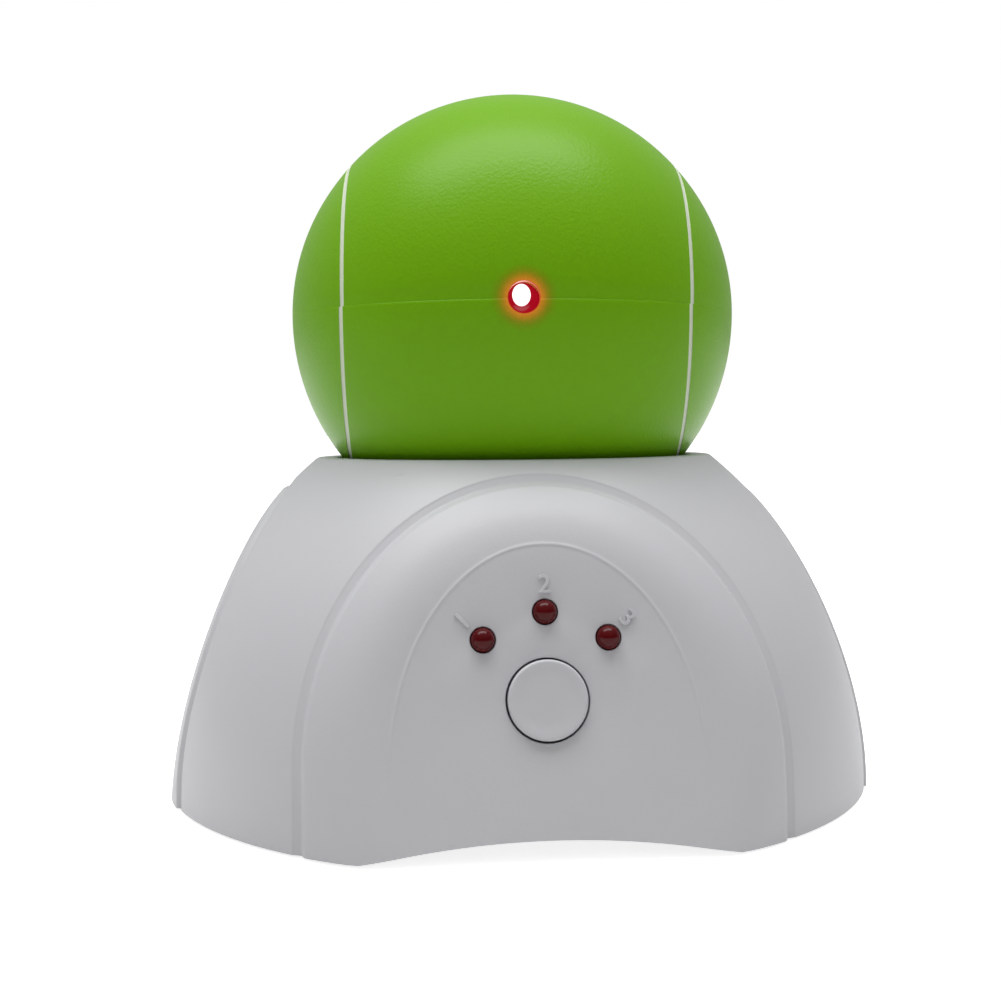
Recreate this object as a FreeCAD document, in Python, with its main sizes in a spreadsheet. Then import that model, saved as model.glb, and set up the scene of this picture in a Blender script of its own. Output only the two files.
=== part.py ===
import FreeCAD, Part
import math
import os
from types import SimpleNamespace

import Sketcher
from FreeCAD import Placement, Rotation, Vector

# An automatic cat laser toy: a ball head with a laser turns on a white domed base.
# Millimetres. The origin is the bottom centre of the standing toy, +Z is up and the front faces -Y.

document = FreeCAD.newDocument("cat_laser_toy")
sheet = document.addObject("Spreadsheet::Sheet", "Sizes")

sizes = {
    # Base shell: a dome turned from one arc, standing a little above the floor on its feet
    "footStand": 0.4,
    "skirtRadius": 51.4,
    "domeArcRadius": 61.0,
    "domeHeight": 47.1,
    "shellWall": 2.2,
    "rimRound": 1.0,
    # Arched panels, measured from the skirt edge: front and back are wide, the sides narrow
    "frontArchHalf": 29.9,
    "frontArchSpring": 13.0,
    "frontArchTop": 45.3,
    "sideArchHalf": 20.3,
    "sideArchSpring": 13.0,
    "sideArchTop": 44.4,
    "grooveWidth": 1.2,
    "grooveDepth": 0.7,
    "panelProud": 0.3,
    # Faces in the panels, by how far inside the skirt radius they start. The front and back ones are
    # flat and lean in per millimetre of height, the side ones are arcs centred below the skirt edge
    "frontFaceIn": 4.6,
    "frontFaceLean": 0.23,
    "sideFaceIn": 1.0,
    "sideFaceArc": 135.0,
    "sideFaceArcDrop": 21.9,
    "faceRound": 14.0,
    # Shallow arcs in the skirt edge between the feet
    "frontSkirtHalf": 23.0,
    "frontSkirtRise": 2.3,
    "sideSkirtHalf": 14.0,
    "sideSkirtRise": 1.4,
    # Ball head
    "ballRadius": 32.5,
    "ballAboveRim": 20.1,
    "neckGap": 0.8,
    "headWall": 2.0,
    "headTurn": -3.3,
    "ballFlatDrop": 29.4,
    "seamLip": 1.5,
    "seamLipWall": 0.9,
    "lipGap": 0.1,
    "stripeOffset": 23.4,
    "stripeWidth": 0.6,
    "stripeDepth": 0.25,
    "apertureRadius": 2.05,
    # Mode button on the front face, with its flange behind the wall
    "buttonUp": 18.8,
    "buttonRadius": 4.85,
    "buttonGap": 0.3,
    "buttonProud": 0.6,
    "buttonRound": 0.35,
    "flangeRadius": 5.95,
    "flangeThickness": 0.8,
    "flangePlay": 0.1,
    "stemRadius": 2.0,
    # Three lamps on a circle about the button
    "lampCircle": 10.7,
    "lampSpread": 46.0,
    "lampRadius": 1.5,
    "lampHoleGap": 0.1,
    "lampStandOut": 1.2,
    "lampLength": 5.3,
    "lampFlangeRadius": 1.9,
    "lampFlange": 0.4,
    "leadRadius": 0.25,
    "leadHalfPitch": 0.65,
    # Control board, parallel to the front face
    "boardDepth": 8.1,
    "boardThickness": 1.6,
    "boardHalfWidth": 14.0,
    "boardDown": 8.0,
    "boardUp": 15.0,
    "boardBossAcross": 11.3,
    "boardBossDown": 5.4,
    "boardBossRadius": 2.4,
    "switchHalf": 3.0,
    "switchHeight": 3.5,
    "switchFloor": 1.0,
    "plungerRadius": 1.6,
    "plungerGap": 0.1,
    "plungerStandOut": 0.8,
    "plungerLength": 2.2,
    "chipUp": 3.0,
    "chipHalfLength": 5.0,
    "chipHalfWidth": 1.95,
    "chipThickness": 1.5,
    "chipPinReach": 1.05,
    "chipPitch": 1.27,
    # Bottom cover and feet
    "coverLift": 4.0,
    "coverThickness": 1.8,
    "coverGap": 0.35,
    "footAcrossIn": 18.9,
    "footBackIn": 22.4,
    "footRadius": 3.5,
    "footThickness": 1.4,
    "footRecess": 0.6,
    "pedestalRadius": 4.4,
    "frontBossAcross": 25.0,
    "frontBossIn": 18.4,
    "frontBossTop": 27.0,
    "backBossAcross": 14.0,
    "backBossIn": 12.5,
    "backBossTop": 21.5,
    "bossRadius": 3.0,
    # Three cells in their bay
    "cellRadius": 7.1,
    "cellLength": 49.2,
    "cellNub": 1.3,
    "cellNubRadius": 2.7,
    "cellEdge": 0.5,
    "cellPitch": 14.8,
    "cellPlay": 0.05,
    "bayMiddle": 12.0,
    "bayWall": 1.2,
    "bayPlay": 0.3,
    "bayWallRise": 3.0,
    "contactPlate": 0.5,
    "contactHalf": 4.5,
    "contactSpring": 5.0,
    "springRadius": 2.9,
    "springWire": 0.25,
    "springTurns": 3,
    # Battery door
    "doorHalfLength": 26.5,
    "doorHalfWidth": 20.5,
    "doorGap": 0.25,
    "doorTabMiddle": 2.0,
    "doorTabLength": 9.0,
    "doorTabHalf": 4.5,
    "doorTabThickness": 0.9,
    "doorScrewIn": 3.6,
    "doorBossRadius": 2.6,
    "doorBossHeight": 6.0,
    "doorLug": 1.3,
    "doorLugHalf": 2.0,
    "doorLugThickness": 0.8,
    "doorGripHalf": 8.0,
    "doorGripPitch": 2.4,
    "doorGripDepth": 0.5,
    # Chassis plate and bearing bridge
    "chassisAboveCells": 1.6,
    "chassisThickness": 2.0,
    "chassisIn": 10.4,
    "chassisFrontIn": 23.4,
    "chassisBackIn": 16.4,
    "postAcrossIn": 15.9,
    "postFront": 10.0,
    "postBack": 14.0,
    "postRadius": 3.0,
    "bridgeThickness": 1.8,
    "bridgePostAcross": 20.0,
    "bridgePostFront": 22.0,
    "bridgePostBack": 7.0,
    # Gear motor under the bridge
    "motorWidth": 12.0,
    "motorDepth": 10.0,
    "motorPlay": 0.6,
    "gearboxLength": 9.0,
    "motorLength": 14.2,
    "motorCap": 0.8,
    "motorCapIn": 1.0,
    "motorScrewAcross": 4.4,
    "motorScrewForward": 3.5,
    "motorScrewSink": 1.1,
    "outputRadius": 1.5,
    "outputRecess": 4.0,
    "outputHoleRadius": 2.2,
    # Gears, drive shaft and bushes
    "gearModule": 0.5,
    "gearTeeth": 54,
    "pinionTeeth": 14,
    "gearPlay": 0.1,
    "toothThinning": 0.06,
    "gearWidth": 2.6,
    "gearBelowTable": 0.6,
    "gearHoleCircle": 8.2,
    "gearHoleRadius": 2.2,
    "bridgeBelowGear": 0.8,
    "shaftRadius": 2.5,
    "shaftBore": 1.5,
    "runningGap": 0.05,
    "bushRadius": 4.0,
    "bushFlangeRadius": 5.2,
    "bushFlange": 0.6,
    "clipRadius": 4.4,
    "clipThickness": 0.6,
    "clipPlay": 0.2,
    "shaftBelowClip": 0.3,
    # Turntable and slip rings
    "tableRadius": 13.2,
    "tableThickness": 2.0,
    "tableHubRadius": 5.0,
    "tableHubHeight": 6.0,
    "tableHubGap": 0.3,
    "tableScrewCircle": 9.0,
    "tableScrewSink": 1.2,
    "tableBossRadius": 2.6,
    "tableBossHeight": 6.8,
    "ringHubRadius": 5.4,
    "ringHubHeight": 4.6,
    "ringHubPlay": 0.4,
    "ringProud": 0.5,
    "ringWidth": 0.8,
    "ringInset": 1.0,
    "brushGap": 0.15,
    "brushThickness": 0.3,
    "brushHalf": 3.4,
    "brushBlockReach": 11.0,
    "brushBlockDepth": 4.0,
    "brushBlockHalf": 4.2,
    # Laser in the head, lying on its cradle behind the aperture
    "laserRadius": 3.0,
    "laserLength": 14.0,
    "laserBore": 2.2,
    "laserLip": 0.8,
    "laserLipRadius": 1.7,
    "laserSetback": 3.1,
    "lensThickness": 1.2,
    "diodeLength": 5.0,
    "diodeFlange": 3.4,
    "laserBoardLength": 8.0,
    "laserBoardHalf": 2.6,
    "laserBoardThickness": 0.8,
    "cradleHalf": 8.5,
    "cradleDrop": 8.0,
    "cradleTopDrop": 0.5,
    "cradleLength": 17.0,
    "clampMiddle": 21.0,
    "clampHalf": 3.0,
    "clampThickness": 1.4,
    "clampScrewAcross": 6.5,
    # Posts that join the two halves of the head
    "headPostReach": 10.5,
    "headPostRadius": 3.3,
    "headPostWell": 2.2,
    "headPostTopDrop": 4.0,
    "headScrewSeatDrop": 6.6,
    # Screws
    "screwHead": 2.0,
    "screwHeadHeight": 1.4,
    "screwShank": 0.9,
    "smallScrewHead": 1.4,
    "smallScrewHeadHeight": 1.0,
    "smallScrewShank": 0.6,
    "longScrew": 9.0,
    "mediumScrew": 7.0,
    "shortScrew": 5.0,
    "stubScrew": 4.0,
    "threadGap": 0.05,
    "screwHoleGap": 0.25,
    "pilotSpare": 0.6,
}


class Length:
    """A number together with the spreadsheet formula that gives it."""

    def __init__(self, number, formula):
        self.number = float(number)
        self.formula = formula

    def __float__(self):
        return self.number

    def __add__(self, other):
        return joined(self, other, "+", self.number + float(other))

    def __radd__(self, other):
        return joined(other, self, "+", float(other) + self.number)

    def __sub__(self, other):
        return joined(self, other, "-", self.number - float(other))

    def __rsub__(self, other):
        return joined(other, self, "-", float(other) - self.number)

    def __mul__(self, other):
        return joined(self, other, "*", self.number * float(other))

    def __rmul__(self, other):
        return joined(other, self, "*", float(other) * self.number)

    def __truediv__(self, other):
        return joined(self, other, "/", self.number / float(other))

    def __neg__(self):
        return Length(-self.number, "-(" + self.formula + ")")


def formula_of(value):
    if isinstance(value, Length):
        return value.formula
    return repr(float(value))


def joined(left, right, sign, number):
    return Length(number, "(" + formula_of(left) + " " + sign + " " + formula_of(right) + ")")


def root(value):
    return Length(math.sqrt(float(value)), "sqrt(" + value.formula + ")")


def half_chord(radius, distance):
    """Half the chord of a circle at a distance from its centre."""
    return root(radius * radius - distance * distance)


def fill_sheet():
    for row, (name, value) in enumerate(sizes.items(), start=1):
        sheet.set("A%d" % row, name)
        sheet.set("B%d" % row, str(value))
        sheet.setAlias("B%d" % row, name)
    document.recompute()
    return SimpleNamespace(**{name: Length(sheet.get(name), "Sizes." + name) for name in sizes})


size = fill_sheet()
nodes = []

# Heights and reaches that several pieces share

skirt_edge = size.footStand
rim_top = skirt_edge + size.domeHeight
dome_centre = size.skirtRadius - size.domeArcRadius
side_arc_height = skirt_edge - size.sideFaceArcDrop
front_face_reach = size.skirtRadius - size.frontFaceIn
side_arc_centre = size.skirtRadius - size.sideFaceIn - half_chord(size.sideFaceArc, size.sideFaceArcDrop)
ball_centre = rim_top + size.ballAboveRim
neck_radius = half_chord(size.ballRadius, size.ballAboveRim) + size.neckGap
head_bottom = ball_centre - size.ballFlatDrop
head_floor = head_bottom + size.headWall
head_inner = size.ballRadius - size.headWall

cover_bottom = size.coverLift
cover_top = cover_bottom + size.coverThickness
cell_axis = cover_top + size.cellPlay + size.cellRadius
chassis_bottom = cell_axis + size.cellRadius + size.chassisAboveCells
chassis_top = chassis_bottom + size.chassisThickness

table_bottom = head_bottom - size.tableThickness
gear_top = table_bottom - size.gearBelowTable
gear_bottom = gear_top - size.gearWidth
bridge_top = gear_bottom - size.bridgeBelowGear
bridge_bottom = bridge_top - size.bridgeThickness
gear_distance = (size.gearTeeth + size.pinionTeeth) * size.gearModule / 2 + size.gearPlay
ring_hub_bottom = chassis_top + size.bushFlange + size.ringHubPlay

bay_half_length = (size.cellLength + size.cellNub + size.contactPlate * 2 + size.contactSpring) / 2
bay_half_width = size.cellPitch + size.cellRadius + size.bayPlay
bay_top = cell_axis + size.bayWallRise
door_screw_x = size.doorHalfLength + size.doorTabLength - size.doorScrewIn
plunger_top = -size.boardDepth + size.switchHeight + size.plungerStandOut
lamp_bottom = size.lampStandOut - size.lampLength
board_back = -size.boardDepth - size.boardThickness


# Building helpers

def bind(thing, name, value):
    if isinstance(value, Length):
        thing.setExpression(name, value.formula)
    else:
        setattr(thing, name, value)


def origin_plane(body, role):
    for feature in body.Origin.OriginFeatures:
        if feature.Role == role:
            return feature
    raise ValueError(role)


def hold(sketch, kind, index, point, value):
    """Ties one coordinate of a sketch point to a size."""
    number = sketch.addConstraint(Sketcher.Constraint(kind, -1, 1, index, point, float(value)))
    if isinstance(value, Length):
        sketch.setExpression("Constraints[%d]" % number, value.formula)


def corner_spots(corners):
    """The outline's corner points, with the free coordinate at the end of each arc worked out."""
    spots = []
    for corner in corners:
        x, y = corner[:2]
        if len(corner) == 5:
            middle = Vector(float(corner[2]), float(corner[3]), 0)
            radius = (spots[-1] - middle).Length
            if x is None:
                x = middle.x + math.sqrt(radius ** 2 - (float(y) - middle.y) ** 2)
            else:
                y = middle.y + math.sqrt(radius ** 2 - (float(x) - middle.x) ** 2)
        spots.append(Vector(float(x), float(y), 0))
    return spots


def draw(sketch, corners):
    """A closed outline. A corner is (x, y) after a straight side, or (x, y, centre x, centre y, turn)
    after an arc about that centre, where turn is 1 for anticlockwise and -1 for clockwise. One
    coordinate at the end of an arc is None, because the arc's radius settles it."""
    spots = corner_spots(corners)
    ends = []
    for index, corner in enumerate(corners):
        start, end = spots[index - 1], spots[index]
        if len(corner) == 5:
            middle = Vector(float(corner[2]), float(corner[3]), 0)
            circle = Part.Circle(middle, Vector(0, 0, 1), (start - middle).Length)
            first, last = (start, end) if corner[4] > 0 else (end, start)
            sketch.addGeometry(Part.ArcOfCircle(circle, circle.parameter(first), circle.parameter(last)))
            ends.append((1, 2) if corner[4] > 0 else (2, 1))
        else:
            sketch.addGeometry(Part.LineSegment(start, end))
            ends.append((1, 2))
    for index, corner in enumerate(corners):
        following = (index + 1) % len(corners)
        sketch.addConstraint(Sketcher.Constraint(
            "Coincident", index, ends[index][1], following, ends[following][0]))
        if len(corner) == 5:
            hold(sketch, "DistanceX", index, 3, corner[2])
            hold(sketch, "DistanceY", index, 3, corner[3])
        if corner[0] is not None:
            hold(sketch, "DistanceX", index, ends[index][1], corner[0])
        if corner[1] is not None:
            hold(sketch, "DistanceY", index, ends[index][1], corner[1])


def sketched_body(name, corners, role):
    body = document.addObject("PartDesign::Body", name)
    sketch = body.newObject("Sketcher::SketchObject", name + "_outline")
    sketch.AttachmentSupport = (origin_plane(body, role), [""])
    sketch.MapMode = "FlatFace"
    draw(sketch, corners)
    return body, sketch


def revolve(name, corners):
    """A body turned about its own Z axis from an outline of (radius, height) corners."""
    body, sketch = sketched_body(name, corners, "XZ_Plane")
    feature = body.newObject("PartDesign::Revolution", name + "_turned")
    feature.Profile = (sketch, [""])
    feature.ReferenceAxis = (sketch, ["V_Axis"])
    feature.Angle = 360
    return body


def extrude(name, corners, depth, role="XY_Plane", both_ways=False):
    """A body pushed out of an outline on one of its origin planes."""
    body, sketch = sketched_body(name, corners, role)
    feature = body.newObject("PartDesign::Pad", name + "_pad")
    feature.Profile = (sketch, [""])
    bind(feature, "Length", depth)
    if both_ways:
        feature.SideType = "Symmetric"
    return body


def rectangle(left, right, low, high):
    return [(left, low), (right, low), (right, high), (left, high)]


def put(thing, x, y, z, turn=None):
    """Sets a piece down at a point, with each coordinate that is a size tied to it."""
    thing.Placement = at(x, y, z, turn)
    for axis, value in (("x", x), ("y", y), ("z", z)):
        if isinstance(value, Length):
            thing.setExpression("Placement.Base." + axis, value.formula)
    return thing


def bar(name, radius, height, x, y, z, turn=None):
    """A round bar that starts at a point and runs up, or the way the turn points it."""
    thing = document.addObject("Part::Cylinder", name)
    bind(thing, "Radius", radius)
    bind(thing, "Height", height)
    return put(thing, x, y, z, turn)


def post(name, radius, x, y, low, high):
    return bar(name, radius, high - low, x, y, low)


def ball(name, radius):
    thing = document.addObject("Part::Sphere", name)
    bind(thing, "Radius", radius)
    return put(thing, 0, 0, ball_centre)


def box(name, left, right, near, far, low, high):
    """A block between six coordinates."""
    thing = document.addObject("Part::Box", name)
    bind(thing, "Length", right - left)
    bind(thing, "Width", far - near)
    bind(thing, "Height", high - low)
    return put(thing, left, near, low)


def join(kind, name, things):
    joiner = document.addObject(kind, name)
    joiner.Shapes = things
    return joiner


def fuse(name, *things):
    return join("Part::MultiFuse", name, list(things))


def common(name, *things):
    return join("Part::MultiCommon", name, list(things))


def cut(name, base, *tools):
    """What is left of the base once the tools are taken out of it."""
    result = document.addObject("Part::Cut", name)
    result.Base = base
    result.Tool = tools[0] if len(tools) == 1 else fuse(name + "_tools", *tools)
    return result


def finish(thing, label, placement=None):
    """Gives a sub-part its own name, place and file."""
    thing.Label = label
    if placement is not None:
        thing.Placement = placement
    nodes.append(thing)


def group(label, single, places):
    """One sub-part of separate copies of a piece, each at its own place."""
    document.recompute()
    copies = []
    for place in places:
        copy = single.Shape.copy()
        copy.Placement = place.multiply(single.Placement)
        copies.append(copy)
    feature = document.addObject("Part::Feature", label)
    feature.Shape = Part.makeCompound(copies)
    finish(feature, label)


def at(x, y, z, turn=None):
    return Placement(Vector(float(x), float(y), float(z)), turn or Rotation())


# Turns that point a piece's own +Z another way
point_down = Rotation(Vector(1, 0, 0), 180)
point_front = Rotation(Vector(1, 0, 0), 90)
point_back = Rotation(Vector(1, 0, 0), -90)
point_right = Rotation(Vector(0, 1, 0), 90)
point_left = Rotation(Vector(0, 1, 0), -90)

# The head stands turned a little away from the front of the base
head_place = Placement(Vector(0, 0, 0), Rotation(Vector(0, 0, 1), float(size.headTurn)))


def face_frame():
    """The frame of the front face: origin at the button's middle, +Z out of the face, +Y up along it."""
    lean = float(size.frontFaceLean)
    height = float(size.buttonUp)
    reach = float(front_face_reach) - lean * (height - float(skirt_edge))
    turn = Rotation(Vector(1, 0, 0), Vector(0, lean, 1), Vector(0, -1, lean), "ZXY")
    return at(0, -reach, height, turn)


face_place = face_frame()


def in_face(x, y, z, turn=None):
    return face_place.multiply(at(x, y, z, turn))


def in_head(x, y, z, turn=None):
    return head_place.multiply(at(x, y, z, turn))


def screw(name, head, head_height, shank, length):
    """A pan head screw with a cross recess. Its seat is at height 0 and its shank points down."""
    blank = revolve(name + "_blank", [
        (0, -length), (shank * 0.5, -length), (shank, -length + shank), (shank, 0),
        (head, 0), (head, head_height * 0.6), (head * 0.7, head_height), (0, head_height)])
    reach = head * 0.6
    half = head * 0.12
    low = head_height * 0.4
    high = head_height * 1.2
    return cut(name, blank, box(name + "_slot", -reach, reach, -half, half, low, high),
               box(name + "_cross", -half, half, -reach, reach, low, high))


def large_screw(name, length):
    return screw(name, size.screwHead, size.screwHeadHeight, size.screwShank, length)


def small_screw(name, length):
    return screw(name, size.smallScrewHead, size.smallScrewHeadHeight, size.smallScrewShank, length)


thread_radius = size.screwShank + size.threadGap
small_thread_radius = size.smallScrewShank + size.threadGap
screw_hole_radius = size.screwShank + size.screwHoleGap
small_hole_radius = size.smallScrewShank + size.screwHoleGap


def mirrored(across, along):
    """A pair of (x, y) spots, one each side of the middle."""
    return [(-across, along), (across, along)]


cover_screw_spots = (mirrored(size.frontBossAcross, size.frontBossIn - size.skirtRadius)
                     + mirrored(size.backBossAcross, size.skirtRadius - size.backBossIn))
foot_across = size.skirtRadius - size.footAcrossIn
foot_back = size.skirtRadius - size.footBackIn
foot_spots = mirrored(foot_across, -foot_back) + mirrored(foot_across, foot_back)
post_across = size.skirtRadius - size.postAcrossIn
post_spots = mirrored(post_across, -size.postFront) + mirrored(post_across, size.postBack)
bridge_spots = (mirrored(size.bridgePostAcross, -size.bridgePostFront)
                + mirrored(size.bridgePostAcross, size.bridgePostBack))
board_screw_spots = mirrored(size.boardBossAcross, -size.boardBossDown)
motor_screw_spots = mirrored(size.motorScrewAcross, -gear_distance - size.motorScrewForward)
clamp_screw_spots = mirrored(size.clampScrewAcross, -size.clampMiddle)
head_post_spots = mirrored(size.headPostReach, 0) + [(0, size.headPostReach)]


def around(radius, degrees):
    """Spots on a circle about the axis, at angles from +X."""
    return [(radius * math.cos(math.radians(turn)), radius * math.sin(math.radians(turn)))
            for turn in degrees]


table_screw_spots = around(size.tableScrewCircle, (45, 135, 270))
lamp_turns = {
    "led_left": 90 + float(size.lampSpread),
    "led_middle": 90,
    "led_right": 90 - float(size.lampSpread),
}
lamp_spots = around(size.lampCircle, lamp_turns.values())

# Outer and inner forms of the base shell

def dome(name, inset, low, high):
    """The dome's solid of revolution, drawn in by an inset all along its arc."""
    arc = size.domeArcRadius - inset
    return revolve(name, [
        (0, low), (dome_centre + half_chord(arc, low - skirt_edge), low),
        (None, high, dome_centre, skirt_edge, 1), (0, high)])


def arch(name, half, spring, top, inset, sideways):
    """A panel's outline pushed right through the base: straight legs under an elliptical crown."""
    wide = half - inset
    reach = size.skirtRadius * 1.2
    low = skirt_edge - 5
    high = skirt_edge + spring
    push = Vector(1, 0, 0) if sideways else Vector(0, 1, 0)
    level = Vector(0, 1, 0) if sideways else Vector(1, 0, 0)
    crown = document.addObject("Part::Ellipse", name + "_crown")
    bind(crown, "MajorRadius", top - spring - inset)
    bind(crown, "MinorRadius", wide)
    put(crown, 0, 0, high, Rotation(Vector(0, 0, 1), level, Vector(0, 0, 1).cross(level), "XYZ"))
    pushed = document.addObject("Part::Extrusion", name + "_crown_bar")
    pushed.Base = crown
    pushed.Dir = push
    bind(pushed, "LengthFwd", reach * 2)
    pushed.Symmetric = True
    pushed.Solid = True
    if sideways:
        legs = box(name + "_legs", -reach, reach, -wide, wide, low, high)
    else:
        legs = box(name + "_legs", -wide, wide, -reach, reach, low, high)
    return fuse(name, pushed, legs)


def arches(name, inset):
    return fuse(
        name,
        arch(name + "_front", size.frontArchHalf, size.frontArchSpring, size.frontArchTop, inset, False),
        arch(name + "_side", size.sideArchHalf, size.sideArchSpring, size.sideArchTop, inset, True))


def front_block(name, inset):
    """A block whose front and back lean in with height, as the flat faces of those panels do."""
    low = skirt_edge - 5
    high = rim_top + 5
    lean = size.frontFaceLean
    reach = front_face_reach - inset * root(lean * lean + 1)
    low_reach = reach + lean * 5
    high_reach = reach - lean * (size.domeHeight + 5)
    return extrude(name, [(-low_reach, low), (low_reach, low), (high_reach, high), (-high_reach, high)],
                   size.skirtRadius * 2.5, "YZ_Plane", True)


def side_block(name, inset):
    """A block whose two sides bulge as the faces of the side panels do."""
    low = skirt_edge - 5
    high = rim_top + 5
    arc = size.sideFaceArc - inset
    low_reach = side_arc_centre + half_chord(arc, low - side_arc_height)
    high_reach = side_arc_centre + half_chord(arc, high - side_arc_height)
    return extrude(name, [
        (low_reach, low), (None, high, side_arc_centre, side_arc_height, 1), (-high_reach, high),
        (-low_reach, None, -side_arc_centre, side_arc_height, 1)], size.skirtRadius * 2.5, "XZ_Plane", True)


def rounded(name, base, radius, wanted):
    """Rounds the edges of a form that the wanted test picks."""
    document.recompute()
    result = document.addObject("Part::Fillet", name)
    result.Base = base
    result.Edges = [(number, float(radius), float(radius))
                    for number, edge in enumerate(base.Shape.Edges, start=1) if wanted(edge)]
    return result


def is_face_crease(edge):
    """Where a panel's face meets the dome, the only edges that are neither straight nor round."""
    return not isinstance(edge.Curve, (Part.Line, Part.Circle))


def is_rim_corner(edge):
    """The outer corner of the flat rim round the neck."""
    bounds = edge.BoundBox
    return (bounds.ZLength < 0.001 and abs(bounds.ZMax - float(rim_top)) < 0.001
            and bounds.XLength > float(neck_radius) * 2.1)


def skirt_arc(name, half, rise, turn):
    """A bar that cuts a shallow arc out of the skirt edge."""
    radius = (half * half + rise * rise) / (rise * 2)
    middle = skirt_edge + rise - radius
    reach = size.skirtRadius * 1.2
    if turn == point_right:
        return bar(name, radius, reach * 2, -reach, 0, middle, turn)
    return bar(name, radius, reach * 2, 0, -reach, middle, turn)


def make_base_shell():
    panel_form = rounded(
        "panel_form",
        common("panel_form_sharp", dome("panel_dome", -size.panelProud, skirt_edge, rim_top),
               front_block("front_faces", 0), side_block("side_faces", 0)),
        size.faceRound, is_face_crease)
    groove_floor = common("groove_floor", dome("groove_dome", size.grooveDepth, skirt_edge, rim_top),
                          panel_form)
    corners = cut("dome_between_panels", dome("plain_dome", 0, skirt_edge, rim_top),
                  arches("panel_openings", 0))
    panels = common("panels", panel_form, arches("panel_outlines", size.grooveWidth))
    outer = fuse("outer_form", corners, groove_floor, panels)
    cavity = common(
        "cavity", dome("inner_dome", size.shellWall, skirt_edge - 1, rim_top - size.shellWall),
        front_block("front_inner_faces", size.shellWall), side_block("side_inner_faces", size.shellWall))
    hollow = cut(
        "hollow_form", outer, cavity,
        post("neck", neck_radius, 0, 0, rim_top - size.shellWall * 2, rim_top + 1),
        skirt_arc("front_skirt_arc", size.frontSkirtHalf, size.frontSkirtRise, point_back),
        skirt_arc("side_skirt_arc", size.sideSkirtHalf, size.sideSkirtRise, point_right))
    bosses = []
    holes = []
    for number, (x, y) in enumerate(cover_screw_spots):
        top = size.frontBossTop if float(y) < 0 else size.backBossTop
        bosses.append(post("cover_boss_%d" % number, size.bossRadius, x, y, cover_top, top))
        holes.append(post("cover_pilot_%d" % number, thread_radius, x, y, cover_top - 1,
                          cover_bottom + size.longScrew + size.pilotSpare))
    for number, (x, y) in enumerate(board_screw_spots):
        boss = bar("board_boss_%d" % number, size.boardBossRadius, size.boardDepth - size.shellWall / 2,
                   0, 0, 0)
        pilot = bar("board_pilot_%d" % number, small_thread_radius, size.shortScrew + size.pilotSpare,
                    0, 0, 0)
        boss.Placement = in_face(x, y, -size.boardDepth)
        pilot.Placement = in_face(x, y, board_back)
        bosses.append(boss)
        holes.append(pilot)
    button_hole = bar("button_hole", size.buttonRadius + size.buttonGap, size.shellWall * 4, 0, 0, 0)
    button_hole.Placement = in_face(0, 0, -size.shellWall * 2)
    holes.append(button_hole)
    for number, (x, y) in enumerate(lamp_spots):
        hole = bar("lamp_hole_%d" % number, size.lampRadius + size.lampHoleGap, size.shellWall * 4, 0, 0, 0)
        hole.Placement = in_face(x, y, -size.shellWall * 2)
        holes.append(hole)
    inside = common("bosses_inside", fuse("bosses", *bosses), groove_floor)
    solid = cut("shell_square_rim", fuse("shell_with_bosses", hollow, inside), *holes)
    finish(rounded("base_shell", solid, size.rimRound, is_rim_corner), "base_shell")


make_base_shell()


# Bottom cover with its battery bay, the door and the feet

def make_bottom_cover():
    lean = size.frontFaceLean
    height = cover_top - skirt_edge
    disc_radius = dome_centre + half_chord(size.domeArcRadius - size.shellWall, height) - size.coverGap
    front_reach = (front_face_reach - lean * height - size.shellWall * root(lean * lean + 1)
                   - size.coverGap)
    side_reach = (side_arc_centre + half_chord(size.sideFaceArc - size.shellWall, cover_top - side_arc_height)
                  - size.coverGap)
    plate = common("cover_plate", post("cover_disc", disc_radius, 0, 0, cover_bottom, cover_top),
                   box("cover_limits", -side_reach, side_reach, -front_reach, front_reach,
                       cover_bottom, cover_top))
    bay_length = bay_half_length + size.bayWall
    bay_width = bay_half_width + size.bayWall
    raised = [box("bay_block", -bay_length, bay_length, size.bayMiddle - bay_width,
                  size.bayMiddle + bay_width, cover_top, bay_top)]
    holes = [
        box("bay_room", -bay_half_length, bay_half_length, size.bayMiddle - bay_half_width,
            size.bayMiddle + bay_half_width, cover_top, bay_top + 1),
        box("door_opening", -size.doorHalfLength - size.doorGap, size.doorHalfLength + size.doorGap,
            size.bayMiddle - size.doorHalfWidth - size.doorGap,
            size.bayMiddle + size.doorHalfWidth + size.doorGap, cover_bottom - 1, cover_top + 1)]
    for number, (x, y) in enumerate(post_spots):
        raised.append(post("cover_post_%d" % number, size.postRadius, x, y, cover_top, chassis_bottom))
        holes.append(post("cover_post_pilot_%d" % number, thread_radius, x, y,
                          chassis_top - size.mediumScrew - size.pilotSpare, chassis_bottom + 1))
    pedestal_bottom = size.footThickness - size.footRecess
    for number, (x, y) in enumerate(foot_spots):
        raised.append(post("pedestal_%d" % number, size.pedestalRadius, x, y, pedestal_bottom, cover_bottom))
        holes.append(post("pad_recess_%d" % number, size.footRadius + size.runningGap, x, y,
                          pedestal_bottom - 1, size.footThickness))
    for number, (x, y) in enumerate(cover_screw_spots):
        holes.append(post("cover_hole_%d" % number, screw_hole_radius, x, y, cover_bottom - 1, cover_top + 1))
    raised.append(post("door_boss", size.doorBossRadius, door_screw_x, size.doorTabMiddle, cover_top,
                       cover_top + size.doorBossHeight))
    holes.append(post("door_pilot", thread_radius, door_screw_x, size.doorTabMiddle, cover_bottom - 1,
                      cover_bottom - size.doorTabThickness + size.mediumScrew + size.pilotSpare))
    finish(cut("bottom_cover", fuse("cover_solid", plate, *raised), *holes), "bottom_cover")


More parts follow.
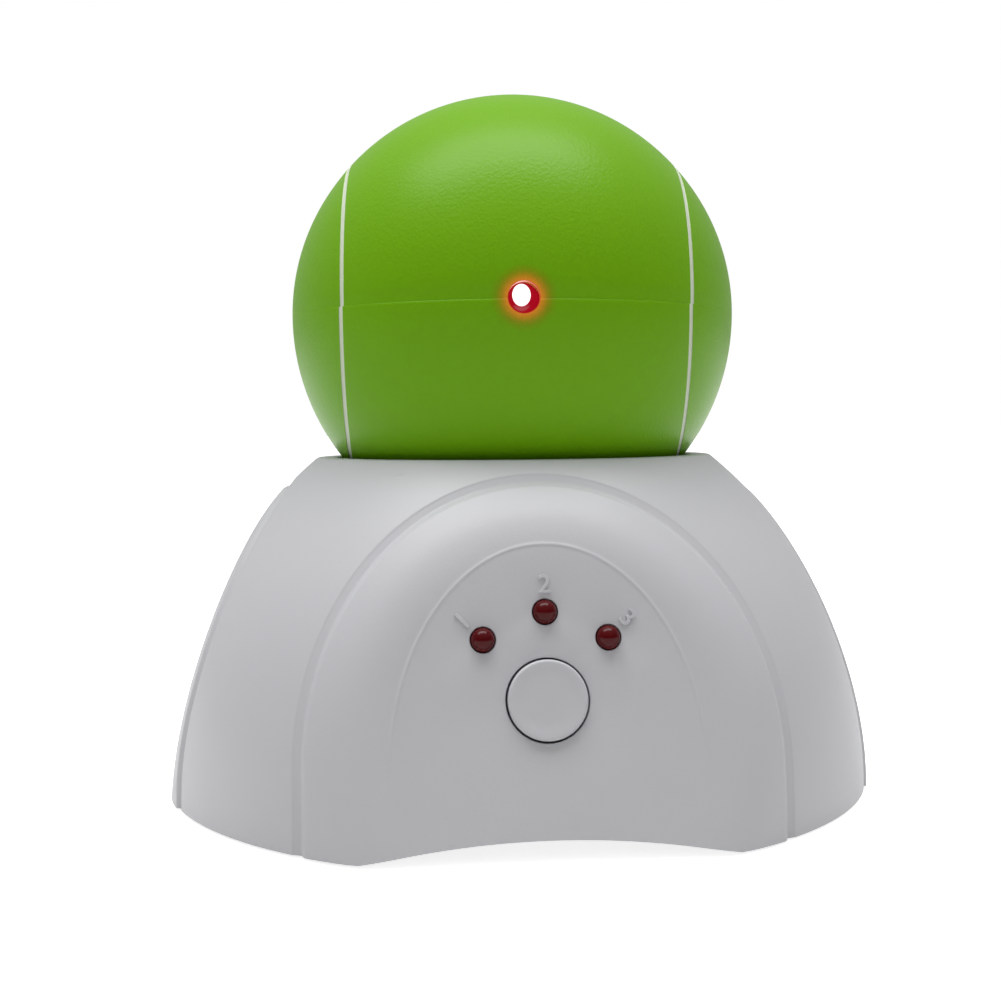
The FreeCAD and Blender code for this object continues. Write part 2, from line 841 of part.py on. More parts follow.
def make_battery_door():
    edge = size.doorHalfLength
    tab_bottom = cover_bottom - size.doorTabThickness
    pieces = [
        box("door_plate", -edge, edge, size.bayMiddle - size.doorHalfWidth,
            size.bayMiddle + size.doorHalfWidth, cover_bottom, cover_top),
        box("door_tab", edge - size.doorTabLength, edge + size.doorTabLength,
            size.doorTabMiddle - size.doorTabHalf, size.doorTabMiddle + size.doorTabHalf,
            tab_bottom, cover_bottom)]
    for side in (-1, 1):
        y = size.bayMiddle + side * size.cellPitch / 2
        pieces.append(box("door_lug_%d" % side, -edge - size.doorLug, -edge + size.doorLug,
                          y - size.doorLugHalf, y + size.doorLugHalf, cover_top,
                          cover_top + size.doorLugThickness))
    holes = [post("door_hole", screw_hole_radius, door_screw_x, size.doorTabMiddle, tab_bottom - 1,
                  cover_bottom + 1)]
    for number in range(3):
        x = -edge / 2 + number * size.doorGripPitch
        holes.append(box("door_grip_%d" % number, x, x + size.doorGripPitch / 2,
                         size.bayMiddle - size.doorGripHalf, size.bayMiddle + size.doorGripHalf,
                         cover_bottom - 1, cover_bottom + size.doorGripDepth))
    finish(cut("battery_door", fuse("door_solid", *pieces), *holes), "battery_door")
    group("battery_door_screw", large_screw("door_screw", size.mediumScrew),
          [at(door_screw_x, size.doorTabMiddle, tab_bottom, point_down)])


def make_feet():
    edge = size.footRecess / 2
    pad = revolve("rubber_pad", [(0, 0), (size.footRadius - edge, 0), (size.footRadius, edge),
                                 (size.footRadius, size.footThickness), (0, size.footThickness)])
    group("rubber_feet", pad, [at(x, y, 0) for x, y in foot_spots])
    group("cover_screws", large_screw("cover_screw", size.longScrew),
          [at(x, y, cover_bottom, point_down) for x, y in cover_screw_spots])


make_bottom_cover()
make_battery_door()
make_feet()


# Three cells lying side by side, each the other way round from the next, with their contacts

def make_spring():
    """A coil of tilted half rings. Each climbs by one rise and runs on smoothly into the next."""
    rise = (size.contactSpring - size.springWire * 2) / (size.springTurns * 2)
    tilt = math.degrees(math.atan2(float(rise) / 2, float(size.springRadius)))
    halves = []
    for number in range(int(float(size.springTurns)) * 2):
        half = document.addObject("Part::Torus", "spring_half_%d" % number)
        bind(half, "Radius1", root(size.springRadius * size.springRadius + rise * rise / 4))
        bind(half, "Radius2", size.springWire)
        half.Angle3 = 180
        side = number % 2
        lean = Rotation(Vector(0, 1, 0), tilt * (1 - 2 * side))
        turn = lean.multiply(Rotation(Vector(0, 0, 1), 180 * side))
        halves.append(put(half, 0, 0, size.springWire + rise * (number + 0.5), turn))
    return fuse("spring", *halves)


def make_cells():
    edge = size.cellEdge
    length = size.cellLength
    radius = size.cellRadius
    cell = revolve("cell", [
        (0, 0), (radius - edge, 0), (radius, edge), (radius, length - edge), (radius - edge, length),
        (size.cellNubRadius, length), (size.cellNubRadius, length + size.cellNub),
        (0, length + size.cellNub)])
    plate = box("contact", 0, size.contactPlate, -size.contactHalf, size.contactHalf,
                -size.contactHalf, size.contactHalf)
    plate_inner = bay_half_length - size.contactPlate
    cell_foot = plate_inner - size.contactSpring
    cells = []
    springs = []
    plates = []
    for row in (-1, 0, 1):
        y = size.bayMiddle + row * size.cellPitch
        side = 1 if row == 0 else -1
        turn = point_left if row == 0 else point_right
        cells.append(at(side * cell_foot, y, cell_axis, turn))
        springs.append(at(side * plate_inner, y, cell_axis, turn))
        plates.append(at(plate_inner, y, cell_axis))
        plates.append(at(-bay_half_length, y, cell_axis))
    group("battery_cells", cell, cells)
    group("contact_springs", make_spring(), springs)
    group("contact_plates", plate, plates)


make_cells()


# Button, lamps and control board, all in the front face's own frame

def make_button():
    round_off = size.buttonRound
    flat = size.buttonRadius - round_off
    top = size.buttonProud
    flange_top = -size.shellWall - size.flangePlay
    flange_bottom = flange_top - size.flangeThickness
    finish(revolve("mode_button", [
        (0, plunger_top), (size.stemRadius, plunger_top), (size.stemRadius, flange_bottom),
        (size.flangeRadius, flange_bottom), (size.flangeRadius, flange_top),
        (size.buttonRadius, flange_top), (size.buttonRadius, top - round_off),
        (flat, None, flat, top - round_off, 1), (0, top)]), "mode_button", face_place)
    plunger = bar("switch_plunger", size.plungerRadius, size.plungerLength, 0, 0, 0)
    finish(plunger, "switch_plunger", in_face(0, 0, plunger_top - size.plungerLength))
    half = size.switchHalf
    switch_top = -size.boardDepth + size.switchHeight
    finish(cut("tact_switch_body",
               box("switch_block", -half, half, -half, half, -size.boardDepth, switch_top),
               post("switch_well", size.plungerRadius + size.plungerGap, 0, 0,
                    -size.boardDepth + size.switchFloor, switch_top + 1)),
           "tact_switch_body", face_place)


def make_lamps():
    shoulder = size.lampStandOut - size.lampRadius
    for label, (x, y) in zip(lamp_turns, lamp_spots):
        finish(revolve(label, [
            (0, lamp_bottom), (size.lampFlangeRadius, lamp_bottom),
            (size.lampFlangeRadius, lamp_bottom + size.lampFlange),
            (size.lampRadius, lamp_bottom + size.lampFlange), (size.lampRadius, shoulder),
            (0, None, 0, shoulder, 1)]), label, in_face(x, y, 0))
    lead = post("lamp_lead", size.leadRadius, 0, 0, -size.boardDepth, lamp_bottom)
    group("led_leads", lead, [in_face(x + side * size.leadHalfPitch, y, 0)
                              for x, y in lamp_spots for side in (-1, 1)])


def make_board():
    board = box("board_blank", -size.boardHalfWidth, size.boardHalfWidth, -size.boardDown, size.boardUp,
                board_back, -size.boardDepth)
    holes = [post("board_hole_%d" % number, small_hole_radius, x, y, board_back - 1, -size.boardDepth + 1)
             for number, (x, y) in enumerate(board_screw_spots)]
    finish(cut("circuit_board", board, *holes), "circuit_board", face_place)
    group("board_screws", small_screw("board_screw", size.shortScrew),
          [in_face(x, y, board_back, point_down) for x, y in board_screw_spots])
    half_length = size.chipHalfLength
    half_width = size.chipHalfWidth
    pins = []
    for number in range(7):
        x = (number - 3) * size.chipPitch
        pins.append(box("chip_pin_%d" % number, x - size.leadRadius, x + size.leadRadius,
                        size.chipUp - half_width - size.chipPinReach,
                        size.chipUp + half_width + size.chipPinReach,
                        board_back - size.leadRadius, board_back))
    body = box("chip_body", -half_length, half_length, size.chipUp - half_width, size.chipUp + half_width,
               board_back - size.chipThickness, board_back - size.leadRadius / 2)
    finish(fuse("control_chip", body, *pins), "control_chip", face_place)


make_button()
make_lamps()
make_board()


# Chassis plate, bearing bridge and the bushes that carry the drive shaft

def make_chassis():
    reach = size.skirtRadius - size.chassisIn
    plate = common("chassis_disc_cut", post("chassis_disc", reach, 0, 0, chassis_bottom, chassis_top),
                   box("chassis_limits", -reach, reach, size.chassisFrontIn - size.skirtRadius,
                       size.skirtRadius - size.chassisBackIn, chassis_bottom, chassis_top))
    half_width = size.motorWidth / 2 + size.motorPlay
    half_depth = size.motorDepth / 2 + size.motorPlay
    raised = []
    holes = [
        box("motor_window", -half_width, half_width, -gear_distance - half_depth,
            -gear_distance + half_depth, chassis_bottom - 1, chassis_top + 1),
        post("lower_bush_hole", size.bushRadius, 0, 0, chassis_bottom - 1, chassis_top + 1)]
    for number, (x, y) in enumerate(post_spots):
        holes.append(post("chassis_hole_%d" % number, screw_hole_radius, x, y, chassis_bottom - 1,
                          chassis_top + 1))
    for number, (x, y) in enumerate(bridge_spots):
        raised.append(post("bridge_post_%d" % number, size.postRadius, x, y, chassis_top, bridge_bottom))
        holes.append(post("bridge_pilot_%d" % number, thread_radius, x, y,
                          bridge_top - size.mediumScrew - size.pilotSpare, bridge_bottom + 1))
    finish(cut("chassis_plate", fuse("chassis_solid", plate, *raised), *holes), "chassis_plate")
    screw_master = large_screw("chassis_screw", size.mediumScrew)
    group("chassis_screws", screw_master, [at(x, y, chassis_top) for x, y in post_spots])
    group("bridge_screws", screw_master, [at(x, y, bridge_top) for x, y in bridge_spots])


def make_bridge():
    edge = size.postRadius
    half = size.bridgePostAcross + edge
    plate = box("bridge_plate", -half, half, -size.bridgePostFront - edge, size.bridgePostBack + edge,
                bridge_bottom, bridge_top)
    holes = [
        post("upper_bush_hole", size.bushRadius, 0, 0, bridge_bottom - 1, bridge_top + 1),
        post("output_hole", size.outputHoleRadius, 0, -gear_distance, bridge_bottom - 1, bridge_top + 1)]
    for number, (x, y) in enumerate(bridge_spots):
        holes.append(post("bridge_hole_%d" % number, screw_hole_radius, x, y, bridge_bottom - 1,
                          bridge_top + 1))
    for number, (x, y) in enumerate(motor_screw_spots):
        holes.append(post("motor_hole_%d" % number, small_hole_radius, x, y, bridge_bottom - 1,
                          bridge_top + 1))
        holes.append(post("motor_sink_%d" % number, size.smallScrewHead + size.screwHoleGap, x, y,
                          bridge_top - size.motorScrewSink, bridge_top + 1))
    finish(cut("bearing_bridge", plate, *holes), "bearing_bridge")


def make_bush(label, low, seat):
    bore = size.shaftRadius + size.runningGap
    top = seat + size.bushFlange
    finish(revolve(label, [(bore, low), (size.bushRadius, low), (size.bushRadius, seat),
                           (size.bushFlangeRadius, seat), (size.bushFlangeRadius, top), (bore, top)]), label)


make_chassis()
make_bridge()
make_bush("lower_bushing", chassis_bottom, chassis_top)
make_bush("upper_bushing", bridge_bottom, bridge_top)


# Gear motor hung under the bridge

def flat_sided(name, width, depth, low, high):
    """A round can with two flats, as small motors have, on the motor's axis."""
    return common(name, post(name + "_round", width / 2, 0, -gear_distance, low, high),
                  box(name + "_flats", -width / 2, width / 2, -gear_distance - depth / 2,
                      -gear_distance + depth / 2, low, high))


def make_motor():
    half_width = size.motorWidth / 2
    half_depth = size.motorDepth / 2
    case_bottom = bridge_bottom - size.gearboxLength
    can_bottom = case_bottom - size.motorLength
    cap_bottom = can_bottom - size.motorCap
    holes = [post("output_bore", size.outputRadius + size.runningGap, 0, -gear_distance,
                  bridge_bottom - size.outputRecess - size.clipPlay, bridge_bottom + 1)]
    for number, (x, y) in enumerate(motor_screw_spots):
        holes.append(post("motor_pilot_%d" % number, small_thread_radius, x, y,
                          bridge_top - size.motorScrewSink - size.stubScrew - size.pilotSpare,
                          bridge_bottom + 1))
    case = box("gearbox_block", -half_width, half_width, -gear_distance - half_depth,
               -gear_distance + half_depth, case_bottom, bridge_bottom)
    finish(cut("gearbox_case", case, *holes), "gearbox_case")
    finish(flat_sided("motor_can", size.motorWidth, size.motorDepth, can_bottom, case_bottom), "motor_can")
    finish(flat_sided("motor_end_cap", size.motorWidth - size.motorCapIn, size.motorDepth - size.motorCapIn,
                      cap_bottom, can_bottom), "motor_end_cap")
    group("motor_screws", small_screw("motor_screw", size.stubScrew),
          [at(x, y, bridge_top - size.motorScrewSink) for x, y in motor_screw_spots])
    finish(post("output_shaft", size.outputRadius, 0, -gear_distance, bridge_bottom - size.outputRecess,
                gear_top + size.gearBelowTable), "output_shaft")


make_motor()


# Drive gears

def involute_angle(pressure):
    return math.tan(pressure) - pressure


def gear_outline(teeth, turned):
    """A spur gear's outline: involute flanks, a tip arc and a straight root between the teeth."""
    module = float(size.gearModule)
    pitch = teeth * module / 2
    inner = pitch * math.cos(math.radians(20))
    tip = pitch + module
    valley = pitch - module * 1.25
    half_tooth = math.pi / (2 * teeth) - float(size.toothThinning) / pitch
    start = max(inner, valley)
    edges = []
    reaches = [start + (tip - start) * step / 6 for step in range(7)]
    pitch_lean = half_tooth + involute_angle(math.radians(20))
    leans = [pitch_lean - involute_angle(math.acos(min(1, inner / reach))) for reach in reaches]
    for number in range(teeth):
        middle = turned + number * 2 * math.pi / teeth
        following = middle + 2 * math.pi / teeth

        def spot(reach, angle):
            return Vector(reach * math.cos(angle), reach * math.sin(angle), 0)

        rising = [spot(reach, middle - lean) for reach, lean in zip(reaches, leans)]
        falling = [spot(reach, middle + lean) for reach, lean in zip(reaches, leans)][::-1]
        root_start = spot(valley, middle - leans[0])
        root_end = spot(valley, middle + leans[0])
        next_root = spot(valley, following - leans[0])
        if start > valley:
            edges.append(Part.LineSegment(root_start, rising[0]).toShape())
        edges.append(flank(rising))
        edges.append(Part.Arc(rising[-1], spot(tip, middle), falling[0]).toShape())
        edges.append(flank(falling))
        if start > valley:
            edges.append(Part.LineSegment(falling[-1], root_end).toShape())
        edges.append(Part.LineSegment(root_end, next_root).toShape())
    return Part.Wire(edges)


def flank(spots):
    curve = Part.BSplineCurve()
    curve.interpolate(spots)
    return curve.toShape()


def make_gear(label, teeth, turned, bore, holes):
    """A gear of the shared width, standing at the height of the drive gears about its own axis."""
    blank = Part.Face(gear_outline(teeth, turned)).extrude(Vector(0, 0, float(size.gearWidth)))
    blank.translate(Vector(0, 0, float(gear_bottom)))
    blank_feature = document.addObject("Part::Feature", label + "_teeth")
    blank_feature.Shape = blank
    tools = [post(label + "_bore", bore, 0, 0, gear_bottom - 1, gear_top + 1)]
    for number, (x, y) in enumerate(holes):
        tools.append(post(label + "_hole_%d" % number, size.gearHoleRadius, x, y, gear_bottom - 1,
                          gear_top + 1))
    return cut(label, blank_feature, *tools)


gear_teeth = int(float(size.gearTeeth))
pinion_teeth = int(float(size.pinionTeeth))
finish(make_gear("drive_gear", gear_teeth, -math.pi / 2, size.shaftRadius,
                 around(size.gearHoleCircle, range(30, 390, 60))), "drive_gear")
finish(make_gear("drive_pinion", pinion_teeth, math.pi / 2 + math.pi / pinion_teeth, size.outputRadius, []),
       "drive_pinion", at(0, -gear_distance, 0))


# Drive shaft, turntable and slip rings

def make_shaft():
    clip_top = chassis_bottom - size.clipPlay
    clip_bottom = clip_top - size.clipThickness
    hub_top = head_bottom + size.tableHubHeight
    finish(revolve("drive_shaft", rectangle(size.shaftBore, size.shaftRadius,
                                            clip_bottom - size.shaftBelowClip, hub_top)), "drive_shaft")
    finish(revolve("shaft_clip", rectangle(size.shaftRadius, size.clipRadius, clip_bottom, clip_top)),
           "shaft_clip")
    ring_hub_top = ring_hub_bottom + size.ringHubHeight
    finish(revolve("slip_ring_hub", rectangle(size.shaftRadius, size.ringHubRadius, ring_hub_bottom,
                                              ring_hub_top)), "slip_ring_hub")
    ring_reach = size.ringHubRadius + size.ringProud
    ring = revolve("slip_ring", rectangle(size.ringHubRadius, ring_reach, 0, size.ringWidth))
    ring_heights = (ring_hub_bottom + size.ringInset, ring_hub_top - size.ringInset - size.ringWidth)
    group("slip_rings", ring, [at(0, 0, height) for height in ring_heights])
    near = ring_reach + size.brushGap
    thick = size.brushThickness
    half = size.brushHalf
    block = size.brushBlockReach
    leaf = extrude("brush_leaf", [
        (near, -half), (near + thick, -half), (near + thick, half - thick), (block, half - thick),
        (block, half), (near, half)], size.ringWidth)
    group("brush_leaves", leaf, [at(0, 0, height) for height in ring_heights])
    finish(box("brush_block", block, block + size.brushBlockDepth, -size.brushBlockHalf,
               size.brushBlockHalf, chassis_top, ring_hub_top), "brush_block")


def make_turntable():
    hub_top = head_bottom + size.tableHubHeight
    blank = revolve("turntable_blank", [
        (size.shaftRadius, table_bottom), (size.tableRadius, table_bottom),
        (size.tableRadius, head_bottom), (size.tableHubRadius, head_bottom),
        (size.tableHubRadius, hub_top), (size.shaftRadius, hub_top)])
    seat = table_bottom + size.tableScrewSink
    holes = []
    for number, (x, y) in enumerate(table_screw_spots):
        holes.append(post("table_hole_%d" % number, small_hole_radius, x, y, table_bottom - 1,
                          head_bottom + 1))
        holes.append(post("table_sink_%d" % number, size.smallScrewHead + size.screwHoleGap, x, y,
                          table_bottom - 1, seat))
    finish(cut("turntable", blank, *holes), "turntable", head_place)
    group("turntable_screws", small_screw("turntable_screw", size.shortScrew),
          [in_head(x, y, seat, point_down) for x, y in table_screw_spots])


make_shaft()
make_turntable()


# Head: two halves of a ball, with a stripe groove round each side

lip_radius = head_inner + size.seamLipWall
lip_top = ball_centre + size.seamLip
laser_front = -(size.ballRadius - size.laserSetback)
laser_back = laser_front + size.laserLength
post_top = ball_centre - size.headPostTopDrop
screw_seat = ball_centre - size.headScrewSeatDrop


def stripe_cutter(name):
    half = size.stripeWidth / 2
    reach = size.ballRadius + 1
    bands = [box(name + "_band_%d" % side, side * size.stripeOffset - half, side * size.stripeOffset + half,
                 -reach, reach, ball_centre - reach, ball_centre + reach) for side in (-1, 1)]
    return cut(name, fuse(name + "_bands", *bands), ball(name + "_floor", size.ballRadius - size.stripeDepth))


def aperture(name):
    return bar(name, size.apertureRadius, size.headWall * 3, 0, -head_inner + size.headWall, ball_centre,
               point_front)


def make_lower_half():
    hub_hole = size.tableHubRadius + size.tableHubGap
    cradle_top = ball_centre - size.cradleTopDrop
    bowl = revolve("lower_bowl", [
        (hub_hole, head_bottom), (half_chord(size.ballRadius, size.ballFlatDrop), head_bottom),
        (None, ball_centre, 0, ball_centre, 1), (lip_radius, ball_centre), (lip_radius, lip_top),
        (head_inner, lip_top), (head_inner, ball_centre), (None, head_floor, 0, ball_centre, -1),
        (hub_hole, head_floor)])
    cradle = common(
        "cradle", ball("cradle_limit", head_inner + size.headWall / 2),
        box("cradle_block", -size.cradleHalf, size.cradleHalf, -head_inner, -head_inner + size.cradleLength,
            ball_centre - size.cradleDrop, cradle_top))
    raised = [bowl, cradle]
    holes = [
        stripe_cutter("lower_stripes"), aperture("lower_aperture"),
        bar("laser_groove", size.laserRadius, size.cradleLength, 0, laser_front - size.clipPlay,
            ball_centre, point_back)]
    for number, (x, y) in enumerate(head_post_spots):
        raised.append(post("head_post_%d" % number, size.headPostRadius, x, y,
                           head_floor - size.headWall / 2, post_top))
        holes.append(post("head_post_well_%d" % number, size.headPostWell, x, y, head_bottom - 1,
                          screw_seat))
        holes.append(post("head_post_hole_%d" % number, screw_hole_radius, x, y, screw_seat - 1,
                          post_top + 1))
    for number, (x, y) in enumerate(table_screw_spots):
        raised.append(post("table_boss_%d" % number, size.tableBossRadius, x, y,
                           head_floor - size.headWall / 2, head_floor + size.tableBossHeight))
        holes.append(post("table_pilot_%d" % number, small_thread_radius, x, y, head_bottom - 1,
                          table_bottom + size.tableScrewSink + size.shortScrew + size.pilotSpare))
    for number, (x, y) in enumerate(clamp_screw_spots):
        holes.append(post("clamp_pilot_%d" % number, small_thread_radius, x, y,
                          cradle_top + size.clampThickness - size.shortScrew - size.pilotSpare,
                          cradle_top + 1))
    finish(cut("head_lower_shell", fuse("lower_solid", *raised), *holes), "head_lower_shell", head_place)
    group("head_screws", large_screw("head_screw", size.mediumScrew),
          [in_head(x, y, screw_seat, point_down) for x, y in head_post_spots])


def make_upper_half():
    rebate = lip_radius + size.lipGap
    rebate_top = lip_top + size.lipGap
    cap = revolve("upper_cap", [
        (rebate, ball_centre), (size.ballRadius, ball_centre), (0, None, 0, ball_centre, 1),
        (0, ball_centre + head_inner), (None, rebate_top, 0, ball_centre, -1), (rebate, rebate_top)])
    posts = [post("upper_post_%d" % number, size.headPostRadius, x, y, post_top,
                  ball_centre + size.ballRadius) for number, (x, y) in enumerate(head_post_spots)]
    posts_inside = common("upper_posts_inside", fuse("upper_posts", *posts),
                          ball("upper_limit", head_inner + size.headWall / 2))
    holes = [stripe_cutter("upper_stripes"), aperture("upper_aperture")]
    for number, (x, y) in enumerate(head_post_spots):
        holes.append(post("upper_pilot_%d" % number, thread_radius, x, y, post_top - 1,
                          screw_seat + size.mediumScrew + size.pilotSpare))
    finish(cut("head_upper_shell", fuse("upper_solid", cap, posts_inside), *holes), "head_upper_shell",
           head_place)


make_lower_half()
make_upper_half()


# Laser on its cradle. Its own pieces are turned about +Z and then laid down to face the front

def make_laser():
    lip_start = size.laserLength - size.laserLip
    facing_out = in_head(0, laser_back, ball_centre, point_front)
    finish(revolve("laser_housing", [
        (size.laserBore, 0), (size.laserRadius, 0), (size.laserRadius, size.laserLength),
        (size.laserLipRadius, size.laserLength), (size.laserLipRadius, lip_start),
        (size.laserBore, lip_start)]), "laser_housing", facing_out)
    lens_edge = size.lensThickness / 4
    lens_bottom = lip_start - size.lensThickness
    finish(revolve("laser_lens", [
        (0, lens_bottom), (size.laserBore - lens_edge, lens_bottom),
        (size.laserBore, lens_bottom + lens_edge), (size.laserBore, lip_start), (0, lip_start)]),
        "laser_lens", facing_out)
    can_radius = size.laserLipRadius
    finish(revolve("laser_diode", [
        (0, 0), (size.laserBore, 0), (size.laserBore, size.diodeFlange), (can_radius, size.diodeFlange),
        (can_radius, size.diodeLength), (0, size.diodeLength)]), "laser_diode", facing_out)
    finish(extrude("laser_board", rectangle(-size.laserBoardHalf, size.laserBoardHalf, laser_back,
                                            laser_back + size.laserBoardLength), size.laserBoardThickness),
           "laser_board", in_head(0, 0, ball_centre - size.laserBoardThickness / 2))
    low = ball_centre - size.cradleTopDrop
    seat = low + size.clampThickness
    near = -size.clampMiddle - size.clampHalf
    far = -size.clampMiddle + size.clampHalf
    arch_radius = size.laserRadius + size.clampThickness
    strap = common("clamp_arch", bar("clamp_arch_round", arch_radius, size.clampHalf * 2, 0, near,
                                     ball_centre, point_back),
                   box("clamp_arch_limit", -arch_radius, arch_radius, near, far, low,
                       ball_centre + arch_radius))
    holes = [bar("clamp_seat", size.laserRadius, size.clampHalf * 4, 0, near - 1, ball_centre, point_back)]
    for number, (x, y) in enumerate(clamp_screw_spots):
        holes.append(post("clamp_hole_%d" % number, small_hole_radius, x, y, low - 1, seat + 1))
    flange = box("clamp_flange", -size.cradleHalf, size.cradleHalf, near, far, low, seat)
    finish(cut("laser_clamp", fuse("clamp_solid", strap, flange), *holes), "laser_clamp", head_place)
    group("clamp_screws", small_screw("clamp_screw", size.shortScrew),
          [in_head(x, y, seat) for x, y in clamp_screw_spots])


make_laser()


def check_shapes():
    document.recompute()
    for thing in document.Objects:
        if "Invalid" in thing.State or "Error" in thing.State:
            raise RuntimeError("failed object " + thing.Name)
    for node in nodes:
        if node.Shape.isNull() or not node.Shape.isValid() or not node.Shape.Solids:
            raise RuntimeError("bad shape " + node.Label)


def write_parts():
    os.makedirs("parts", exist_ok=True)
    for node in nodes:
        node.Shape.exportStep(os.path.join("parts", node.Label + ".step"))
        print(node.Label, len(node.Shape.Solids), round(node.Shape.Volume, 1))


check_shapes()
write_parts()
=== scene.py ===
import math

import bmesh
import bpy
import numpy as np
from mathutils import Matrix, Vector
from mathutils.geometry import delaunay_2d_cdt


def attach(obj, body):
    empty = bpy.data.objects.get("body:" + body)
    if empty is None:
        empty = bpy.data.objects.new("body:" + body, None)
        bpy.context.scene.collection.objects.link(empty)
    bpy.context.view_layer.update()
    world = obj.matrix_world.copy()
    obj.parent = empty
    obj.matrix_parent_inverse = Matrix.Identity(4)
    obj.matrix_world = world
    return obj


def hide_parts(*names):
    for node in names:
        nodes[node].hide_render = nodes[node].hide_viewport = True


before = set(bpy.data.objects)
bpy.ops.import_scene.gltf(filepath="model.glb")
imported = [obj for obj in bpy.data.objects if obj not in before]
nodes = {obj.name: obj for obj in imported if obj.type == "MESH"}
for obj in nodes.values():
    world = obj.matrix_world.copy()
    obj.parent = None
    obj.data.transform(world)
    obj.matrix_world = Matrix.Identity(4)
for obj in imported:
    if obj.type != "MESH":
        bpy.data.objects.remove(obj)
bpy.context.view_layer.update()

# Automatic cat laser toy: a green ball head turns on a white domed base.
# Metres, +Z up, the front panel with its button faces -Y. The dictionaries of the pieces hold millimetres
# and degrees, unless a comment says otherwise

mm = 0.001
quarter = math.pi / 2
weldGap = 2e-6  # metres: points of one piece that lie closer than this become one
print("stage: frame loaded,", len(nodes), "nodes")


def fromScreen(red, green, blue):
    # a colour as a screen shows it, 0 to 255, turned into the linear values that nodes use
    shown = np.array([red, green, blue]) / 255
    linear = np.where(shown <= 0.04045, shown / 12.92, ((shown + 0.055) / 1.055) ** 2.4)
    return tuple(float(value) for value in linear) + (1.0,)


class Signal:
    # a shader socket that can be added, subtracted and multiplied like a number
    def __init__(self, sheet, socket):
        self.sheet = sheet
        self.socket = socket

    def __add__(self, other):
        return self.sheet.arithmetic("ADD", self, other)

    def __sub__(self, other):
        return self.sheet.arithmetic("SUBTRACT", self, other)

    def __rsub__(self, other):
        return self.sheet.arithmetic("SUBTRACT", other, self)

    def __mul__(self, other):
        return self.sheet.arithmetic("MULTIPLY", self, other)


class Sheet:
    # the nodes of one material or of the room round the toy
    def __init__(self, owner):
        owner.use_nodes = True
        self.tree = owner.node_tree
        self.tree.nodes.clear()

    def feed(self, socket, value):
        if isinstance(value, Signal):
            self.tree.links.new(value.socket, socket)
        else:
            socket.default_value = value

    def node(self, kind, settings, inputs, output=0):
        # any node: its settings are set first, then its sockets by name or number. It gives back one
        # output as a signal, or nothing where output is None
        made = self.tree.nodes.new(kind)
        for name, value in settings.items():
            setattr(made, name, value)
        for name, value in inputs.items():
            self.feed(made.inputs[name], value)
        return None if output is None else Signal(self, made.outputs[output])

    def arithmetic(self, operation, first, second=0.0):
        return self.node("ShaderNodeMath", {"operation": operation}, {0: first, 1: second})

    def absolute(self, value):
        return self.arithmetic("ABSOLUTE", value)

    def between(self, value, low, high):
        # 0 below low, 1 above high and a smooth step between them
        return self.node("ShaderNodeMapRange", {"interpolation_type": "SMOOTHSTEP"},
                         {"Value": value, "From Min": low, "From Max": high})

    def place(self):
        return self.node("ShaderNodeTexCoord", {}, {}, "Object")

    def part(self, vector, axis):
        return self.node("ShaderNodeSeparateXYZ", {}, {0: vector}, axis)

    def noise(self, vector, scale, detail, rough=0.5):
        return self.node("ShaderNodeTexNoise", {}, {
            "Vector": vector, "Scale": scale, "Detail": detail, "Roughness": rough}, "Fac")

    def cells(self, vector, scale, smoothness):
        return self.node("ShaderNodeTexVoronoi", {"feature": "SMOOTH_F1"}, {
            "Vector": vector, "Scale": scale, "Smoothness": smoothness}, "Distance")

    def mix(self, factor, first, second):
        # sockets 6 and 7 hold the two colours, and output 2 is the mixed one
        return self.node("ShaderNodeMix", {"data_type": "RGBA"}, {
            "Factor": factor, 6: first, 7: second}, 2)

    def bump(self, height, strength, distance):
        return self.node("ShaderNodeBump", {}, {
            "Height": height, "Strength": strength, "Distance": distance})

    def rays(self, *kinds):
        # 1 for the kinds of light path named, 0 for the others
        found = [self.node("ShaderNodeLightPath", {}, {}, "Is " + kind + " Ray") for kind in kinds]
        total = found[0]
        for other in found[1:]:
            total = self.arithmetic("MAXIMUM", total, other)
        return total


class Finish(Sheet):
    # one material, with its surface shader ready to be wired
    def __init__(self, name):
        self.material = bpy.data.materials.new(name)
        super().__init__(self.material)
        self.surface = self.tree.nodes.new("ShaderNodeBsdfPrincipled")
        output = self.tree.nodes.new("ShaderNodeOutputMaterial")
        self.tree.links.new(self.surface.outputs[0], output.inputs["Surface"])

    def dress(self, **sockets):
        # sockets of the surface shader, named in camelCase without blanks
        names = {name.replace(" ", "").lower(): name for name in self.surface.inputs.keys()}
        for key, value in sockets.items():
            self.feed(self.surface.inputs[names[key.lower()]], value)
        return self.material


# Moulded plastic: a base colour that wanders a little, a fine spark-eroded grain and soft flow waves.
# Scales are per metre and depths in metres. The roughness wanders evenly about the given one
plastic = {"cloudScale": 35, "flowScale": 55, "flowShare": 2.4, "speckSpan": (0.2, 0.8), "speckRough": 0.08,
           "cloudRough": 0.06, "grainDepth": 0.00003, "iOR": 1.5}


def plasticFinish(name, colour, shade, roughness, grain, grainScale):
    finish = Finish(name)
    where = finish.place()
    cloud = finish.noise(where, plastic["cloudScale"], detail=3)
    speck = finish.noise(where, grainScale, detail=3, rough=0.6)
    flow = finish.noise(where, plastic["flowScale"], detail=1)
    speckled = finish.between(speck, *plastic["speckSpan"]) * plastic["speckRough"]
    middle = (plastic["speckRough"] + plastic["cloudRough"]) / 2
    return finish.dress(
        baseColor=finish.mix(cloud, fromScreen(*colour), fromScreen(*shade)),
        roughness=speckled + cloud * plastic["cloudRough"] + (roughness - middle),
        normal=finish.bump(speck + flow * plastic["flowShare"], grain, plastic["grainDepth"]),
        iOR=plastic["iOR"])


